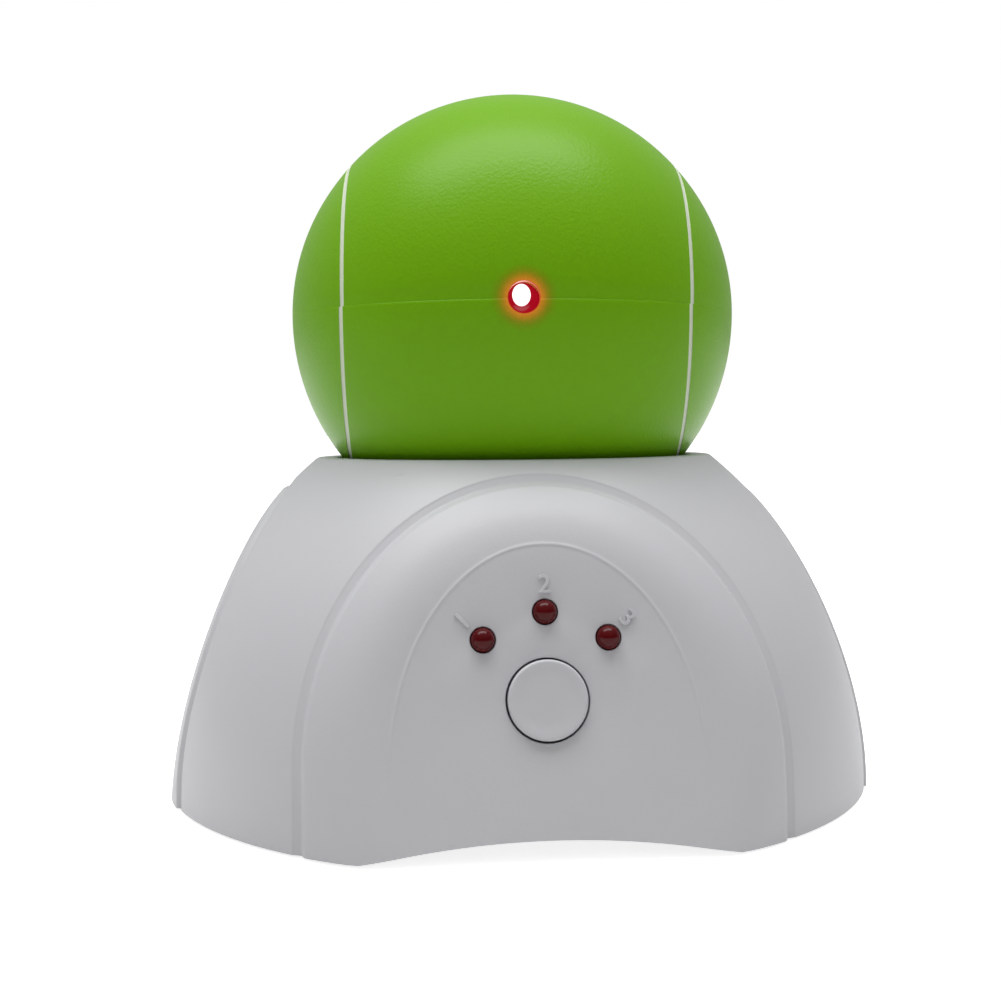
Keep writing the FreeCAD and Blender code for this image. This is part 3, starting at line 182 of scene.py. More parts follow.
# Bare metal: fine brushing along one axis and faint stains
metal = {"brushed": (900, 900, 60), "lineScale": 3, "stainScale": 120, "lineRough": 0.16, "stainRough": 0.1,
         "roughDrop": 0.1, "lineStrength": 0.25, "lineDepth": 0.00002}


def metalFinish(name, colour, shade, roughness):
    finish = Finish(name)
    where = finish.place()
    stretched = finish.node("ShaderNodeMapping", {}, {"Vector": where, "Scale": metal["brushed"]})
    lines = finish.noise(stretched, metal["lineScale"], detail=4)
    stain = finish.noise(where, metal["stainScale"], detail=2)
    return finish.dress(
        baseColor=finish.mix(stain, fromScreen(*colour), fromScreen(*shade)), metallic=1.0,
        roughness=lines * metal["lineRough"] + stain * metal["stainRough"] + (roughness - metal["roughDrop"]),
        normal=finish.bump(lines, metal["lineStrength"], metal["lineDepth"]))


class Skin:
    # collects the surfaces of one piece, welds them where they meet and makes the mesh
    def __init__(self):
        self.points = []
        self.faces = []
        self.count = 0

    def add(self, points, faces):
        self.points.append(np.asarray(points, float).reshape(-1, 3))
        self.faces += [tuple(face) for face in (np.asarray(faces) + self.count).tolist()]
        self.count += len(self.points[-1])

    def grid(self, points, closed=False, flip=False):
        # points[row, column]: quads between neighbouring rows and columns
        rows, columns = points.shape[:2]
        index = np.arange(rows * columns).reshape(rows, columns)
        if closed:
            index = np.concatenate([index, index[:, :1]], 1)
        quads = np.stack([index[:-1, :-1], index[:-1, 1:], index[1:, 1:], index[1:, :-1]], -1).reshape(-1, 4)
        self.add(points, quads[:, ::-1] if flip else quads)

    def fill(self, loops, place, flip):
        # a flat region between an outer loop and the holes in it, in two flat coordinates. Triangles cover
        # all that the loops span, and those whose middle lies outside or in a hole are left out
        everyTriangle, tolerance = 0, 1e-7
        corners = [Vector(spot) for loop in loops for spot in loop]
        starts = np.cumsum([0] + [len(loop) for loop in loops])
        rings = [list(range(low, high)) for low, high in zip(starts[:-1], starts[1:])]
        spots, _, faces, _, _, _ = delaunay_2d_cdt(corners, [], rings, everyTriangle, tolerance)
        middles = np.array([np.mean([spots[corner] for corner in face], 0) for face in faces])
        inside = insideLoop(middles, np.array(loops[0]))
        for hole in loops[1:]:
            inside &= ~insideLoop(middles, np.array(hole))
        flat = np.array([tuple(spot) for spot in spots])
        for face, keep in zip(faces, inside):
            if keep:
                around = face if (signedArea(flat, face) > 0) != flip else face[::-1]
                self.faces.append(tuple(corner + self.count for corner in around))
        self.points.append(place(flat[:, 0], flat[:, 1]))
        self.count += len(flat)

    def build(self, name, material, body, sharp):
        mesh = bpy.data.meshes.new(name)
        mesh.from_pydata(np.concatenate(self.points).tolist(), [], self.faces)
        work = bmesh.new()
        work.from_mesh(mesh)
        bmesh.ops.remove_doubles(work, verts=work.verts, dist=weldGap)
        bmesh.ops.dissolve_degenerate(work, edges=work.edges, dist=weldGap / 4)
        work.to_mesh(mesh)
        work.free()
        shadeSmooth(mesh, sharp)
        mesh.materials.append(material)
        return setDown(bpy.data.objects.new(name, mesh), body)


def shadeSmooth(mesh, sharp):
    # smooth shading that breaks where two faces meet at more than an angle in degrees
    mesh.polygons.foreach_set("use_smooth", np.ones(len(mesh.polygons), bool))
    mesh.set_sharp_from_angle(angle=math.radians(sharp))


def setDown(piece, body):
    bpy.context.scene.collection.objects.link(piece)
    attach(piece, body)
    return piece


def insideLoop(spots, loop):
    # even-odd rule: counts how many sides of the loop a ray to the right of each spot crosses. A level side
    # is never crossed, so its rise only has to differ from 0
    anyRise = 1e-12
    ends = np.roll(loop, -1, 0)
    above = (loop[None, :, 1] > spots[:, None, 1]) != (ends[None, :, 1] > spots[:, None, 1])
    rise = np.where(ends[:, 1] == loop[:, 1], anyRise, ends[:, 1] - loop[:, 1])
    cross = loop[:, 0] + (spots[:, None, 1] - loop[:, 1]) * (ends[:, 0] - loop[:, 0]) / rise
    return (above & (spots[:, None, 0] < cross)).sum(1) % 2 == 1


def signedArea(flat, face):
    # twice the area of a flat face, positive where its corners run anticlockwise
    corners = flat[list(face)]
    nexts = np.roll(corners, -1, 0)
    return float((corners[:, 0] * nexts[:, 1] - corners[:, 1] * nexts[:, 0]).sum())


def turned(profile, count):
    # a profile of (radius, height) points carried round the Z axis: (r cos a, r sin a, h)
    angle = np.linspace(0, 2 * math.pi, count, endpoint=False)
    radius, height = np.array(profile, float).T
    return np.stack([radius[:, None] * np.cos(angle), radius[:, None] * np.sin(angle),
                     height[:, None] + 0 * angle], -1)


def arcPoints(middle, radius, start, end, count):
    # points on an arc about (x, y), angles in degrees
    angle = np.radians(np.linspace(start, end, count))
    return [(middle[0] + radius * math.cos(turn), middle[1] + radius * math.sin(turn)) for turn in angle]


def rimLoop(spot, radius, count):
    # a flat circle about a spot: (x + r cos a, y + r sin a)
    angle = np.linspace(0, 2 * math.pi, count, endpoint=False)
    return np.stack([spot[0] + radius * np.cos(angle), spot[1] + radius * np.sin(angle)], -1)


def moved(points, matrix):
    # millimetres in a piece's own frame, turned into metres in the toy's frame
    grid = np.array(matrix)
    return (points @ grid[:3, :3].T + grid[:3, 3]) * mm


def turnedPiece(name, profile, matrix, material, body, count, sharp):
    # a closed turned piece, in millimetres in its own frame, set down by a matrix. Outlines run from
    # the bottom of the axis to its top, so the faces point outwards
    skin = Skin()
    skin.grid(moved(turned(profile, count), matrix), closed=True)
    return skin.build(name, material, body, sharp)


# Base shell. Heights on its panels are above the skirt edge. The button's and the lamps' sizes stand here
# too, because the shell has their holes
shell = {
    "skirt": 0.4, "radius": 51.4, "arc": 61.0, "height": 47.1, "wall": 2.2, "rimRound": 1.0,
    "neck": 26.34, "neckRound": 0.25, "neckFlat": 0.1, "neckFoot": 0.6, "holeRound": 0.12, "sharp": 38,
    "front": {"half": 31.2, "spring": 10.0, "top": 45.6, "skirtHalf": 23.0, "skirtRise": 2.3, "bead": 0.1},
    "side": {"half": 20.3, "spring": 13.0, "top": 44.4, "skirtHalf": 14.0, "skirtRise": 1.4, "bead": 0.0},
    "faceReach": 46.79, "faceLean": 0.23, "sideReach": 50.4, "sideArc": 135.0, "sideDrop": 21.9,
    "grooveDepth": 0.36, "grooveSlope": 1.2, "grooveRise": 0.6, "grooveLip": 0.05, "lipInset": 0.2,
    "lipWidth": 0.12, "tiltAcross": 0.8, "tiltLeast": 0.2, "proud": 0.25, "blend": 1.9,
    "crownLift": 3.4, "crownLiftFrom": 2.4, "crownLiftOver": 8.8,
    "beadInset": 12.0, "beadWidth": 0.22, "beadFadeFrom": 4, "beadFadeOver": 18,
}
button = {
    "up": 18.8, "hole": 5.15, "holeSteps": 96, "cap": 4.9, "proud": 0.6, "edge": 0.35, "edgeSteps": 9,
    "dish": 0.12, "dishEdge": 0.35, "dishShares": [0.985, 0.95, 0.9, 0.85, 0.8, 0.7, 0.6, 0.4, 0.2, 0],
    "flange": 5.95, "flangeTop": -2.3, "flangeLow": -3.1, "stem": 2.0, "stemLow": -3.8, "steps": 128,
    "sharp": 50,
}
lamp = {
    "circle": 10.7, "spread": 46.0, "radius": 1.5, "hole": 1.6, "holeSteps": 48, "standOut": 1.2,
    "length": 5.3, "flange": 1.9, "flangeHeight": 0.4, "domeFrom": 4, "domeSteps": 20, "steps": 64,
    "sharp": 50,
    "colour": (84, 8, 12), "shade": (68, 5, 9), "cloudScale": 700, "cloudRough": 0.08, "roughness": 0.14,
    "iOR": 1.5, "specular": 0.15,
}

# Where the shell's grids have their rows and columns: insets from a panel's outline, distances from the
# middle of the bead, shares of the inner wall's height and counts of steps. The window is the stretch of
# the inner wall that is filled flat round the holes
shellGrid = {
    "denseInset": 2.4, "denseSteps": 24,
    "sideInsets": [3.0, 3.8, 4.7, 5.7, 6.8, 8.0, 9.4, 11.0, 13.0, 15.4, 18.0],
    "frontInsets": [3.2, 4.2, 5.4, 6.8, 8.2, 9.6, 10.5], "backInsets": [14.0, 15.4, 17.4, 20.0, 23.2, 27.0],
    "beadSteps": [0.1, 0.17, 0.24, 0.32, 0.42, 0.6, 1.0, 1.8],
    "innerShares": [0, 0.05, 0.12, 0.2, 0.3, 0.4, 0.5, 0.6, 0.7, 0.77, 0.83, 0.88, 0.92, 0.95, 0.975, 1],
    "bandShares": [0.25, 0.5, 0.75], "windowRow": 8, "windowHalf": 12.5,
    "legSteps": 24, "crownSteps": 84, "cornerSteps": 48, "footSteps": 32, "rimSteps": 10, "roundSteps": 5,
}
sideCentre = shell["sideReach"] - math.sqrt(shell["sideArc"] ** 2 - shell["sideDrop"] ** 2)
arcCentre = shell["radius"] - shell["arc"]


def domeReach(height, inset=0.0):
    # the dome's radius at a height above the skirt edge: one arc about a centre inside the axis
    return arcCentre + np.sqrt(np.maximum((shell["arc"] - inset) ** 2 - height ** 2, 0))


def frontReach(height, inset=0.0):
    # the front face's distance from the axis: it leans in evenly with height
    lean = shell["faceLean"]
    return shell["faceReach"] - inset * math.hypot(1, lean) - lean * height


def sideReach(height, inset=0.0):
    # the side face's distance from the axis: a long arc centred below the skirt edge
    return sideCentre + np.sqrt((shell["sideArc"] - inset) ** 2 - (height + shell["sideDrop"]) ** 2)


def ease(value):
    # 0 to 1 with level ends: 3v^2 - 2v^3
    value = np.clip(value, 0, 1)
    return value * value * (3 - 2 * value)


def outlineSteps():
    # where the points lie along half an outline: a share of the leg, then the angle up the crown
    leg = np.linspace(0, 1, shellGrid["legSteps"] + 1)
    crown = quarter * np.linspace(0, 1, shellGrid["crownSteps"] + 1)[1:]
    return leg, crown


def skirtHeight(across, panel):
    # the skirt edge rises in a shallow arc in the middle of a panel
    return panel["skirtRise"] * np.maximum(1 - (across / panel["skirtHalf"]) ** 2, 0)


def outline(panel, inset):
    # the panel's outline drawn in by each inset, from its left foot over the crown to its right foot:
    # straight legs under half an ellipse, drawn in less at the crown
    leg, crown = outlineSteps()
    inset = np.asarray(inset, float)[:, None]
    wide = panel["half"] - inset
    spring = panel["spring"]
    lift = shell["crownLift"] * ease((inset - shell["crownLiftFrom"]) / shell["crownLiftOver"])
    rise = panel["top"] - spring - inset + lift
    foot = skirtHeight(wide, panel)
    across = np.concatenate([wide + 0 * leg, wide * np.cos(crown)], 1)
    height = np.concatenate([foot + (spring - foot) * leg, spring + rise * np.sin(crown)], 1)
    across[:, -1] = 0
    return (np.concatenate([-across, across[:, -2::-1]], 1),
            np.concatenate([height, height[:, -2::-1]], 1))


def panelForm(across, height, faceReach):
    # the smaller of the face and the dome a little proud, blended over a width as a rolling ball would: a
    # share s of the face and 1 - s of the dome, less blend s (1 - s)
    plain = np.sqrt(np.maximum(domeReach(height) ** 2 - across ** 2, 0))
    proud = np.sqrt(np.maximum((domeReach(height) + shell["proud"]) ** 2 - across ** 2, 0))
    flat = faceReach(height)
    share = np.clip(0.5 + 0.5 * (proud - flat) / shell["blend"], 0, 1)
    return plain, proud * (1 - share) + flat * share - shell["blend"] * share * (1 - share)


def panelSurface(panel, insets, faceReach):
    # outward reach of a panel at each inset: a fine lip, an even slope down from the dome, a quick rise to
    # the panel's rolled edge, then the bead and the face. Where the dome tilts away from the outward
    # direction, the groove's depth is divided by that tilt
    across, height = outline(panel, insets)
    plain, form = panelForm(across, height, faceReach)
    inset = np.asarray(insets, float)[:, None] + 0 * across
    away = (height / shell["arc"]) ** 2 + (across / shell["radius"]) ** 2 * shell["tiltAcross"]
    depth = shell["grooveDepth"] / np.sqrt(np.maximum(1 - away, shell["tiltLeast"]))
    down = np.clip(inset / shell["grooveSlope"], 0, 1)
    up = ease((inset - shell["grooveSlope"]) / shell["grooveRise"])
    lip = shell["grooveLip"] * np.exp(-((inset - shell["lipInset"]) / shell["lipWidth"]) ** 2)
    reach = plain + lip - depth * down * (1 - up) + (form - plain) * up
    bead = np.exp(-((inset - shell["beadInset"]) / shell["beadWidth"]) ** 2)
    fade = ease((height - shell["beadFadeFrom"]) / shell["beadFadeOver"])
    return across, height, reach + panel["bead"] * bead * fade


def panelPoints(across, height, reach, facing):
    # from (across, height, outward) to the toy's frame. facing 0 is the front, and it turns by quarters
    turn = facing * quarter
    return np.stack([across * math.cos(turn) + reach * math.sin(turn),
                     across * math.sin(turn) - reach * math.cos(turn), height + shell["skirt"]], -1) * mm


def facePlace():
    # the front face's own frame in millimetres: origin under the button, +Z out of the face
    lean = shell["faceLean"]
    slant = math.hypot(1, lean)
    reach = float(frontReach(button["up"] - shell["skirt"]))
    return Matrix(((1, 0, 0, 0), (0, lean / slant, -1 / slant, -reach),
                   (0, 1 / slant, lean / slant, button["up"]), (0, 0, 0, 1)))


faceFrame = facePlace()
lampTurns = (-lamp["spread"], 0, lamp["spread"])
lampSpots = [(lamp["circle"] * math.sin(math.radians(turn)), lamp["circle"] * math.cos(math.radians(turn)))
             for turn in lampTurns]
holeRims = [((0.0, 0.0), button["hole"], button["holeSteps"])]
holeRims += [(spot, lamp["hole"], lamp["holeSteps"]) for spot in lampSpots]


def flatFill(skin, loop, depth, grow, flip):
    # fills a stretch of the front face, at a depth below it, round the button's and the lamps' holes.
    # loop holds toy points in metres, and is taken into the face's own two coordinates
    back = np.array(faceFrame.inverted())
    own = (loop / mm) @ back[:3, :3].T + back[:3, 3]
    holes = [rimLoop(spot, radius + grow, count) for spot, radius, count in holeRims]

    def onFace(x, y):
        return moved(np.stack([x, y, 0 * x - depth], -1), faceFrame)

    skin.fill([own[:, :2]] + holes, onFace, flip)


def panelInsets(facing):
    # the rows of a panel's grid, close together over the groove and at the bead. The front panel's end
    # inside the bead, where the flat face begins, and the others' at the panel's middle line
    dense = np.linspace(0, shellGrid["denseInset"], shellGrid["denseSteps"] + 1).tolist()
    if facing % 2:
        return dense + shellGrid["sideInsets"] + [shell["side"]["half"]]
    near = np.array(shellGrid["beadSteps"])
    bead = (shell["beadInset"] + np.concatenate([-near[-2::-1], [0], near])).tolist()
    insets = dense + shellGrid["frontInsets"] + bead
    if facing == 2:
        insets += shellGrid["backInsets"] + [shell["front"]["half"]]
    return insets


def shellPanel(skin, facing):
    # one arched panel. It gives back the panel's outline and its stretch of the bottom edge
    panel = shell["side"] if facing % 2 else shell["front"]
    faceReach = sideReach if facing % 2 else frontReach
    across, height, reach = panelSurface(panel, panelInsets(facing), faceReach)
    points = panelPoints(across, height, reach, facing)
    skin.grid(points, flip=True)
    edge = [points[:, 0]]
    if facing == 0:
        wide = across[-1, -1]
        step = np.linspace(-wide, wide, shellGrid["footSteps"] + 1)[1:-1]
        low = skirtHeight(step, panel)
        bottom = panelPoints(step, low, faceReach(low), facing)
        edge.append(bottom)
        flatFill(skin, np.concatenate([points[-1], bottom[::-1]]), 0, shell["holeRound"], False)
    edge.append(points[::-1, -1][min(facing, 1):])
    return points[0], np.concatenate(edge)


def shellCorner(skin, left, right, facing):
    # the dome between two panels: direction and height run evenly from one outline to the other, and the
    # radius is the dome's at that height. It gives back the corner's bottom and top edges
    share = np.linspace(0, 1, shellGrid["cornerSteps"] + 1)[:, None]
    middle = (facing - 0.5) * quarter
    angles = [np.arctan2(side[:, 1], side[:, 0]) - middle for side in (left, right)]
    angles = [middle + (angle + math.pi) % (2 * math.pi) - math.pi for angle in angles]
    turn = angles[0] * (1 - share) + angles[1] * share
    height = left[:, 2] * (1 - share) + right[:, 2] * share
    radius = domeReach(height / mm - shell["skirt"]) * mm
    corner = np.stack([radius * np.cos(turn), radius * np.sin(turn), height], -1)
    corner[0], corner[-1] = left, right
    skin.grid(corner, flip=True)
    return corner[1:-1, 0], corner[:-1, -1]


def shellOuter(skin):
    # four arched panels and the corners between them. It gives back the bottom edge, from the front
    # panel's left foot, and the top edge, each as one loop of points
    panels = [shellPanel(skin, facing) for facing in range(4)]
    half = len(panels[0][0]) // 2
    foot = []
    top = []
    for facing in range(4):
        left = panels[facing][0][half:][::-1]
        right = panels[(facing + 1) % 4][0][:half + 1]
        low, high = shellCorner(skin, left, right, facing)
        foot += [panels[facing][1], low]
        top.append(high)
    return np.concatenate(foot), np.concatenate(top)


def shellRim(skin, start):
    # from the tops of the panels over the rounded rim to the neck, down it and to the inner wall's top.
    # Each ring keeps the directions of the points in the loop that it starts from
    turn = np.arctan2(start[:, 1], start[:, 0])
    low = start[:, 2] / mm - shell["skirt"]
    neck, neckRound = shell["neck"], shell["neckRound"]
    rimHeight = shell["height"] - shell["rimRound"]
    rimCentre = arcCentre + math.sqrt((shell["arc"] - shell["rimRound"]) ** 2 - rimHeight ** 2)
    lean = math.degrees(math.atan2(rimHeight, rimCentre - arcCentre))
    tangent = rimHeight * shell["arc"] / (shell["arc"] - shell["rimRound"])
    ceiling = shell["height"] - shell["wall"]
    rows = []
    for share in shellGrid["bandShares"]:
        height = low + (tangent - low) * share
        rows.append((domeReach(height), height))
    profile = arcPoints((rimCentre, rimHeight), shell["rimRound"], lean, 90, shellGrid["rimSteps"])
    profile += [(neck + neckRound + shell["neckFlat"], shell["height"])]
    profile += arcPoints((neck + neckRound, shell["height"] - neckRound), neckRound, 90, 180,
                         shellGrid["roundSteps"])
    profile += [(neck, ceiling + shell["neckFoot"]), (neck, ceiling)]
    rows += [(radius + 0 * low, height + 0 * low) for radius, height in profile]
    grid = [start] + [np.stack([radius * mm * np.cos(turn), radius * mm * np.sin(turn),
                                (height + shell["skirt"]) * mm], -1) for radius, height in rows]
    skin.grid(np.stack(grid), closed=True)
    return grid[-1]


def innerReach(turn, height):
    # the inner wall's distance from the axis in a direction: the nearest of dome, faces and sides. A face
    # is far off in directions well aside from it, so the share of the direction may stop at a least one
    wall, leastShare = shell["wall"], 0.3
    flat = frontReach(height, wall) / np.maximum(np.abs(np.sin(turn)), leastShare)
    side = sideReach(height, wall) / np.maximum(np.abs(np.cos(turn)), leastShare)
    return np.minimum(domeReach(height, wall), np.minimum(flat, side))


def shellInner(skin, foot):
    # the skirt's lower edge and the inner wall, up to the neck. The front wall has the same holes as the
    # front face, so there a stretch of it is filled round them
    turn = np.arctan2(foot[:, 1], foot[:, 0])
    low = foot[:, 2] / mm - shell["skirt"]
    ceiling = shell["height"] - shell["wall"]
    height = low + (ceiling - low) * np.array(shellGrid["innerShares"])[:, None]
    radius = innerReach(turn, height)
    grid = np.stack([radius * np.cos(turn), radius * np.sin(turn), height + shell["skirt"]], -1) * mm
    skin.grid(np.stack([foot, grid[0]]), closed=True, flip=True)
    row = shellGrid["windowRow"]
    inFront = np.flatnonzero((foot[:, 1] < 0) & (np.abs(foot[:, 0]) < shellGrid["windowHalf"] * mm))
    first, last = inFront[0], inFront[-1]
    around = np.roll(np.arange(len(foot)), -last)[:len(foot) - (last - first) + 1]
    skin.grid(grid[:row + 1][:, around], flip=True)
    skin.grid(grid[row:], closed=True, flip=True)
    window = grid[:row + 1, first:last + 1]
    loop = np.concatenate([window[0], window[1:, -1], window[-1, -2::-1], window[-2:0:-1, 0]])
    flatFill(skin, loop, shell["wall"], 0, True)
    return grid[-1]


def holeTubes(skin):
    # the walls of the four holes through the front, with a small round at the outer edge
    edge = shell["holeRound"]
    profile = arcPoints((edge, -edge), edge, 90, 180, shellGrid["roundSteps"]) + [(0, -shell["wall"])]
    for spot, radius, count in holeRims:
        rows = [np.concatenate([rimLoop(spot, radius + grow, count), np.full((count, 1), depth)], 1)
                for grow, depth in profile]
        skin.grid(moved(np.stack(rows), faceFrame), closed=True)


def makeShell(material):
    skin = Skin()
    foot, top = shellOuter(skin)
    neck = shellRim(skin, top)
    inner = shellInner(skin, foot)

    def onCeiling(x, y):
        return np.stack([x, y, 0 * x + inner[0, 2] / mm], -1) * mm

    skin.fill([inner[:, :2] / mm, neck[:, :2] / mm], onCeiling, True)
    holeTubes(skin)
    piece = skin.build("base_shell_skin", material, "base", shell["sharp"])
    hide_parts("base_shell")


whiteFinish = plasticFinish("shell_white_finish", (192, 192, 195), (187, 187, 191), 0.45, 0.5, 2600)
makeShell(whiteFinish)
print("stage: base shell")

# Ball head: two half shells that meet in a level seam, with a white line in a groove on each side. The
# slices across the ball lie close together at the stripeSteps, given in halves of the line's width
head = {
    "centre": 67.6, "radius": 32.5, "wall": 2.0, "turn": -3.3, "flatDrop": 29.4, "sharp": 38,
    "stripe": 23.4, "stripeWidth": 0.55, "stripeDepth": 0.2, "stripeFloor": 0.84, "stripeWall": 0.24,
    "stripeSteps": [0, 0.5, 0.84, 0.92, 1, 1.1, 1.3], "lowerShift": -0.18,
    "lipDeep": 0.2, "lipHigh": 0.42, "dipHigh": 3.0, "seamLift": 0.4, "liftSpread": 20,
    "aperture": 2.05, "apertureSide": 0.44, "apertureUp": 0.56, "apertureSpan": (26, 34),
    "hubHole": 5.3, "hubSpan": (-31, -25), "around": 110, "innerAround": 61, "lipSteps": 8,
    "middleSlices": 44, "poleSlices": 34, "holeSteps": 64,
}
headTurn = Matrix.Rotation(math.radians(head["turn"]), 4, "Z")
headFrame = Matrix.Translation((0, 0, head["centre"])) @ headTurn


def headSlices(shift):
    # angles from the middle plane to the side poles, close together where the lines' grooves lie
    near = np.array(head["stripeSteps"])
    steps = np.concatenate([-near[:0:-1], near])
    sides = []
    for sign in (-1, 1):
        stripe = math.asin((head["stripe"] + sign * shift) / head["radius"])
        half = head["stripeWidth"] / 2 / head["radius"] / math.cos(stripe)
        close = stripe + half * steps
        sides.append(np.concatenate([np.linspace(0, close[0], head["middleSlices"])[:-1], close,
                                     np.linspace(close[-1], quarter, head["poleSlices"])[1:]]))
    return np.concatenate([-sides[0][:0:-1], sides[1]])


def seamProfile(side):
    # at the seam the lower half has a rounded lip that stands a little proud, because the upper half dips
    # towards it: the angle from the seam and the drop below the ball's radius at each step
    step = np.linspace(0, 1, head["lipSteps"])
    if side < 0:
        return (head["lipHigh"] / head["radius"] * (1 - np.cos(step * quarter)),
                head["lipDeep"] * (1 - np.sin(step * quarter)))
    return head["dipHigh"] / head["radius"] * step, head["lipDeep"] * (1 - ease(step))


def halfShell(side):
    # one half of the ball: slices across X, each a ring of radius R cos(slice) that runs over the outside
    # and back along the inside. side is 1 for the upper half and -1 for the lower one, which is flat below
    shift = head["lowerShift"] if side < 0 else 0
    slices = headSlices(shift)[:, None]
    radius, wall = head["radius"], head["wall"]
    along = radius * np.sin(slices)
    away = (np.abs(along - shift) - head["stripe"]) / head["stripeWidth"] * 2
    groove = head["stripeDepth"] * (1 - ease((np.abs(away) - head["stripeFloor"]) / head["stripeWall"]))
    lipTurn, lipDrop = seamProfile(side)
    turn = np.linspace(lipTurn[-1], math.pi - lipTurn[-1], head["around"])[1:-1]
    outerTurn = np.concatenate([lipTurn, turn, math.pi - lipTurn[::-1]])
    drop = np.concatenate([lipDrop, 0 * turn, lipDrop[::-1]])
    ring = (radius - groove - drop) * np.cos(slices)
    outer = np.stack([along + 0 * ring, -ring * np.cos(outerTurn), ring * np.sin(outerTurn)], -1)
    innerTurn = np.linspace(math.pi, 0, head["innerAround"])
    ring = (radius - wall) * np.cos(slices) + 0 * innerTurn
    inner = np.stack([(radius - wall) * np.sin(slices) + 0 * ring, -ring * np.cos(innerTurn),
                      ring * np.sin(innerTurn)], -1)
    points = np.concatenate([outer, inner], 1)
    if side < 0:
        low = head["flatDrop"] - wall * (np.arange(points.shape[1]) >= outer.shape[1])
        points[..., 2] = np.minimum(points[..., 2], low)
    points[..., 2] *= side
    points[..., 2] += head["seamLift"] * np.maximum(1 - np.abs(points[..., 2]) / head["liftSpread"], 0)
    return points


def cutAway(piece, cutters, sharp):
    # takes the cutters out of a closed piece, and removes them
    for cutter in cutters:
        change = piece.modifiers.new("opening", "BOOLEAN")
        change.operation = "DIFFERENCE"
        change.solver = "EXACT"
        change.object = cutter
    graph = bpy.context.evaluated_depsgraph_get()
    mesh = bpy.data.meshes.new_from_object(piece.evaluated_get(graph))
    piece.modifiers.clear()
    mesh.name = piece.name
    piece.data = mesh
    shadeSmooth(mesh, sharp)
    for cutter in cutters:
        bpy.data.objects.remove(cutter)


def holeBar(radius, low, high, matrix):
    # a plain round bar for cutting, in millimetres along its own Z
    profile = [(0, low), (radius, low), (radius, high), (0, high)]
    return turnedPiece("cutter", profile, matrix, None, "head", head["holeSteps"], head["sharp"])


def makeHead(material):
    for side, name in ((1, "head_upper_shell"), (-1, "head_lower_shell")):
        skin = Skin()
        skin.grid(moved(halfShell(side), headFrame), closed=True, flip=side > 0)
        piece = skin.build(name + "_skin", material, "head", head["sharp"])
        aside = Matrix.Translation((head["apertureSide"], 0, head["apertureUp"]))
        forward = headFrame @ aside @ Matrix.Rotation(quarter, 4, "X")
        cutters = [holeBar(head["aperture"], *head["apertureSpan"], forward)]
        if side < 0:
            cutters.append(holeBar(head["hubHole"], *head["hubSpan"], headFrame))
        cutAway(piece, cutters, head["sharp"])
        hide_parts(name)


# Green moulded plastic with a fine leather grain. The two lines are white, by their distance from the
# head's middle plane, which is turned with the head. Round the aperture the laser's light is painted on
# the shell as an orange colour and a weak glow, and painted red light covers the wall of the hole. Scales
# are per metre, and the grain's depth is in metres
leather = {
    "colour": (111, 169, 4), "shade": (106, 163, 3), "line": (210, 218, 196), "lineSoft": 0.08,
    "seamSoft": 0.01, "cloudScale": 30, "grainScale": 2300, "grainSmooth": 0.6, "fineScale": 3800,
    "fineShare": 0.5, "grainStrength": 0.5, "grainDepth": 0.00006, "roughness": 0.3, "fineRough": 0.08,
    "cloudRough": 0.05, "iOR": 1.4, "specular": 0.19,
}
# Painted laser light on the shell: an orange colour and a weak glow round the aperture, and red on the wall
# of the hole. The core and the window belong to the lit lens
laser = {
    "glowReach": 4.9, "glow": (1.0, 0.2, 0.03, 1), "glowStrength": 0.45, "ripple": 0.6, "frontFrom": -20,
    "paintedLight": (150, 72, 12), "paintedLightShare": 0.7, "wall": (118, 10, 18), "redLightFrom": 0.02, "redLightTo": 0.1,
    "core": (0.2, 1.02), "coreSqueeze": 1.22, "coreInner": 1.25, "coreOuter": 1.5, "coreStrength": 3.0,
    "coreColour": (1.0, 0.93, 0.93, 1), "rimColour": (0.1, 0.0, 0.004, 1),
    "colour": (120, 10, 14), "shade": (96, 8, 12), "cloudScale": 900, "cloudRough": 0.05, "roughness": 0.1,
    "window": 2.7, "windowFoot": 29.42, "windowEdge": 29.6, "windowTop": 30.1, "windowSteps": 14,
    "barrel": 1.65, "barrelFoot": 27.6, "steps": 64, "sharp": 40,
}


def fromAxis(finish, where, across, up, squeeze=1.0):
    # distance in metres from a line that runs front to back through the head, given in millimetres
    flat = finish.node("ShaderNodeVectorMath", {"operation": "MULTIPLY"}, {0: where, 1: (squeeze, 0, 1)})
    return finish.node("ShaderNodeVectorMath", {"operation": "DISTANCE"}, {
        0: flat, 1: (across * mm * squeeze, 0, (head["centre"] + up) * mm)}, "Value")


def headPlace(finish):
    # places turned back with the head, so that -Y is where its aperture looks
    return finish.node("ShaderNodeMapping", {}, {
        "Vector": finish.place(), "Rotation": (0, 0, -math.radians(head["turn"]))})


def whiteLines(finish, where):
    # 1 on the two lines: within half a line's width of the stripes, whose lower halves are shifted
    seam = (head["centre"] + head["seamLift"]) * mm
    soft = leather["seamSoft"] * mm
    lower = 1 - finish.between(finish.part(where, "Z"), seam - soft, seam + soft)
    shifted = finish.part(where, "X") - lower * (head["lowerShift"] * mm)
    reach = finish.absolute(finish.absolute(shifted) - head["stripe"] * mm)
    half = head["stripeWidth"] * mm / 2
    return 1 - finish.between(reach, half * (1 - leather["lineSoft"]), half * (1 + leather["lineSoft"]))


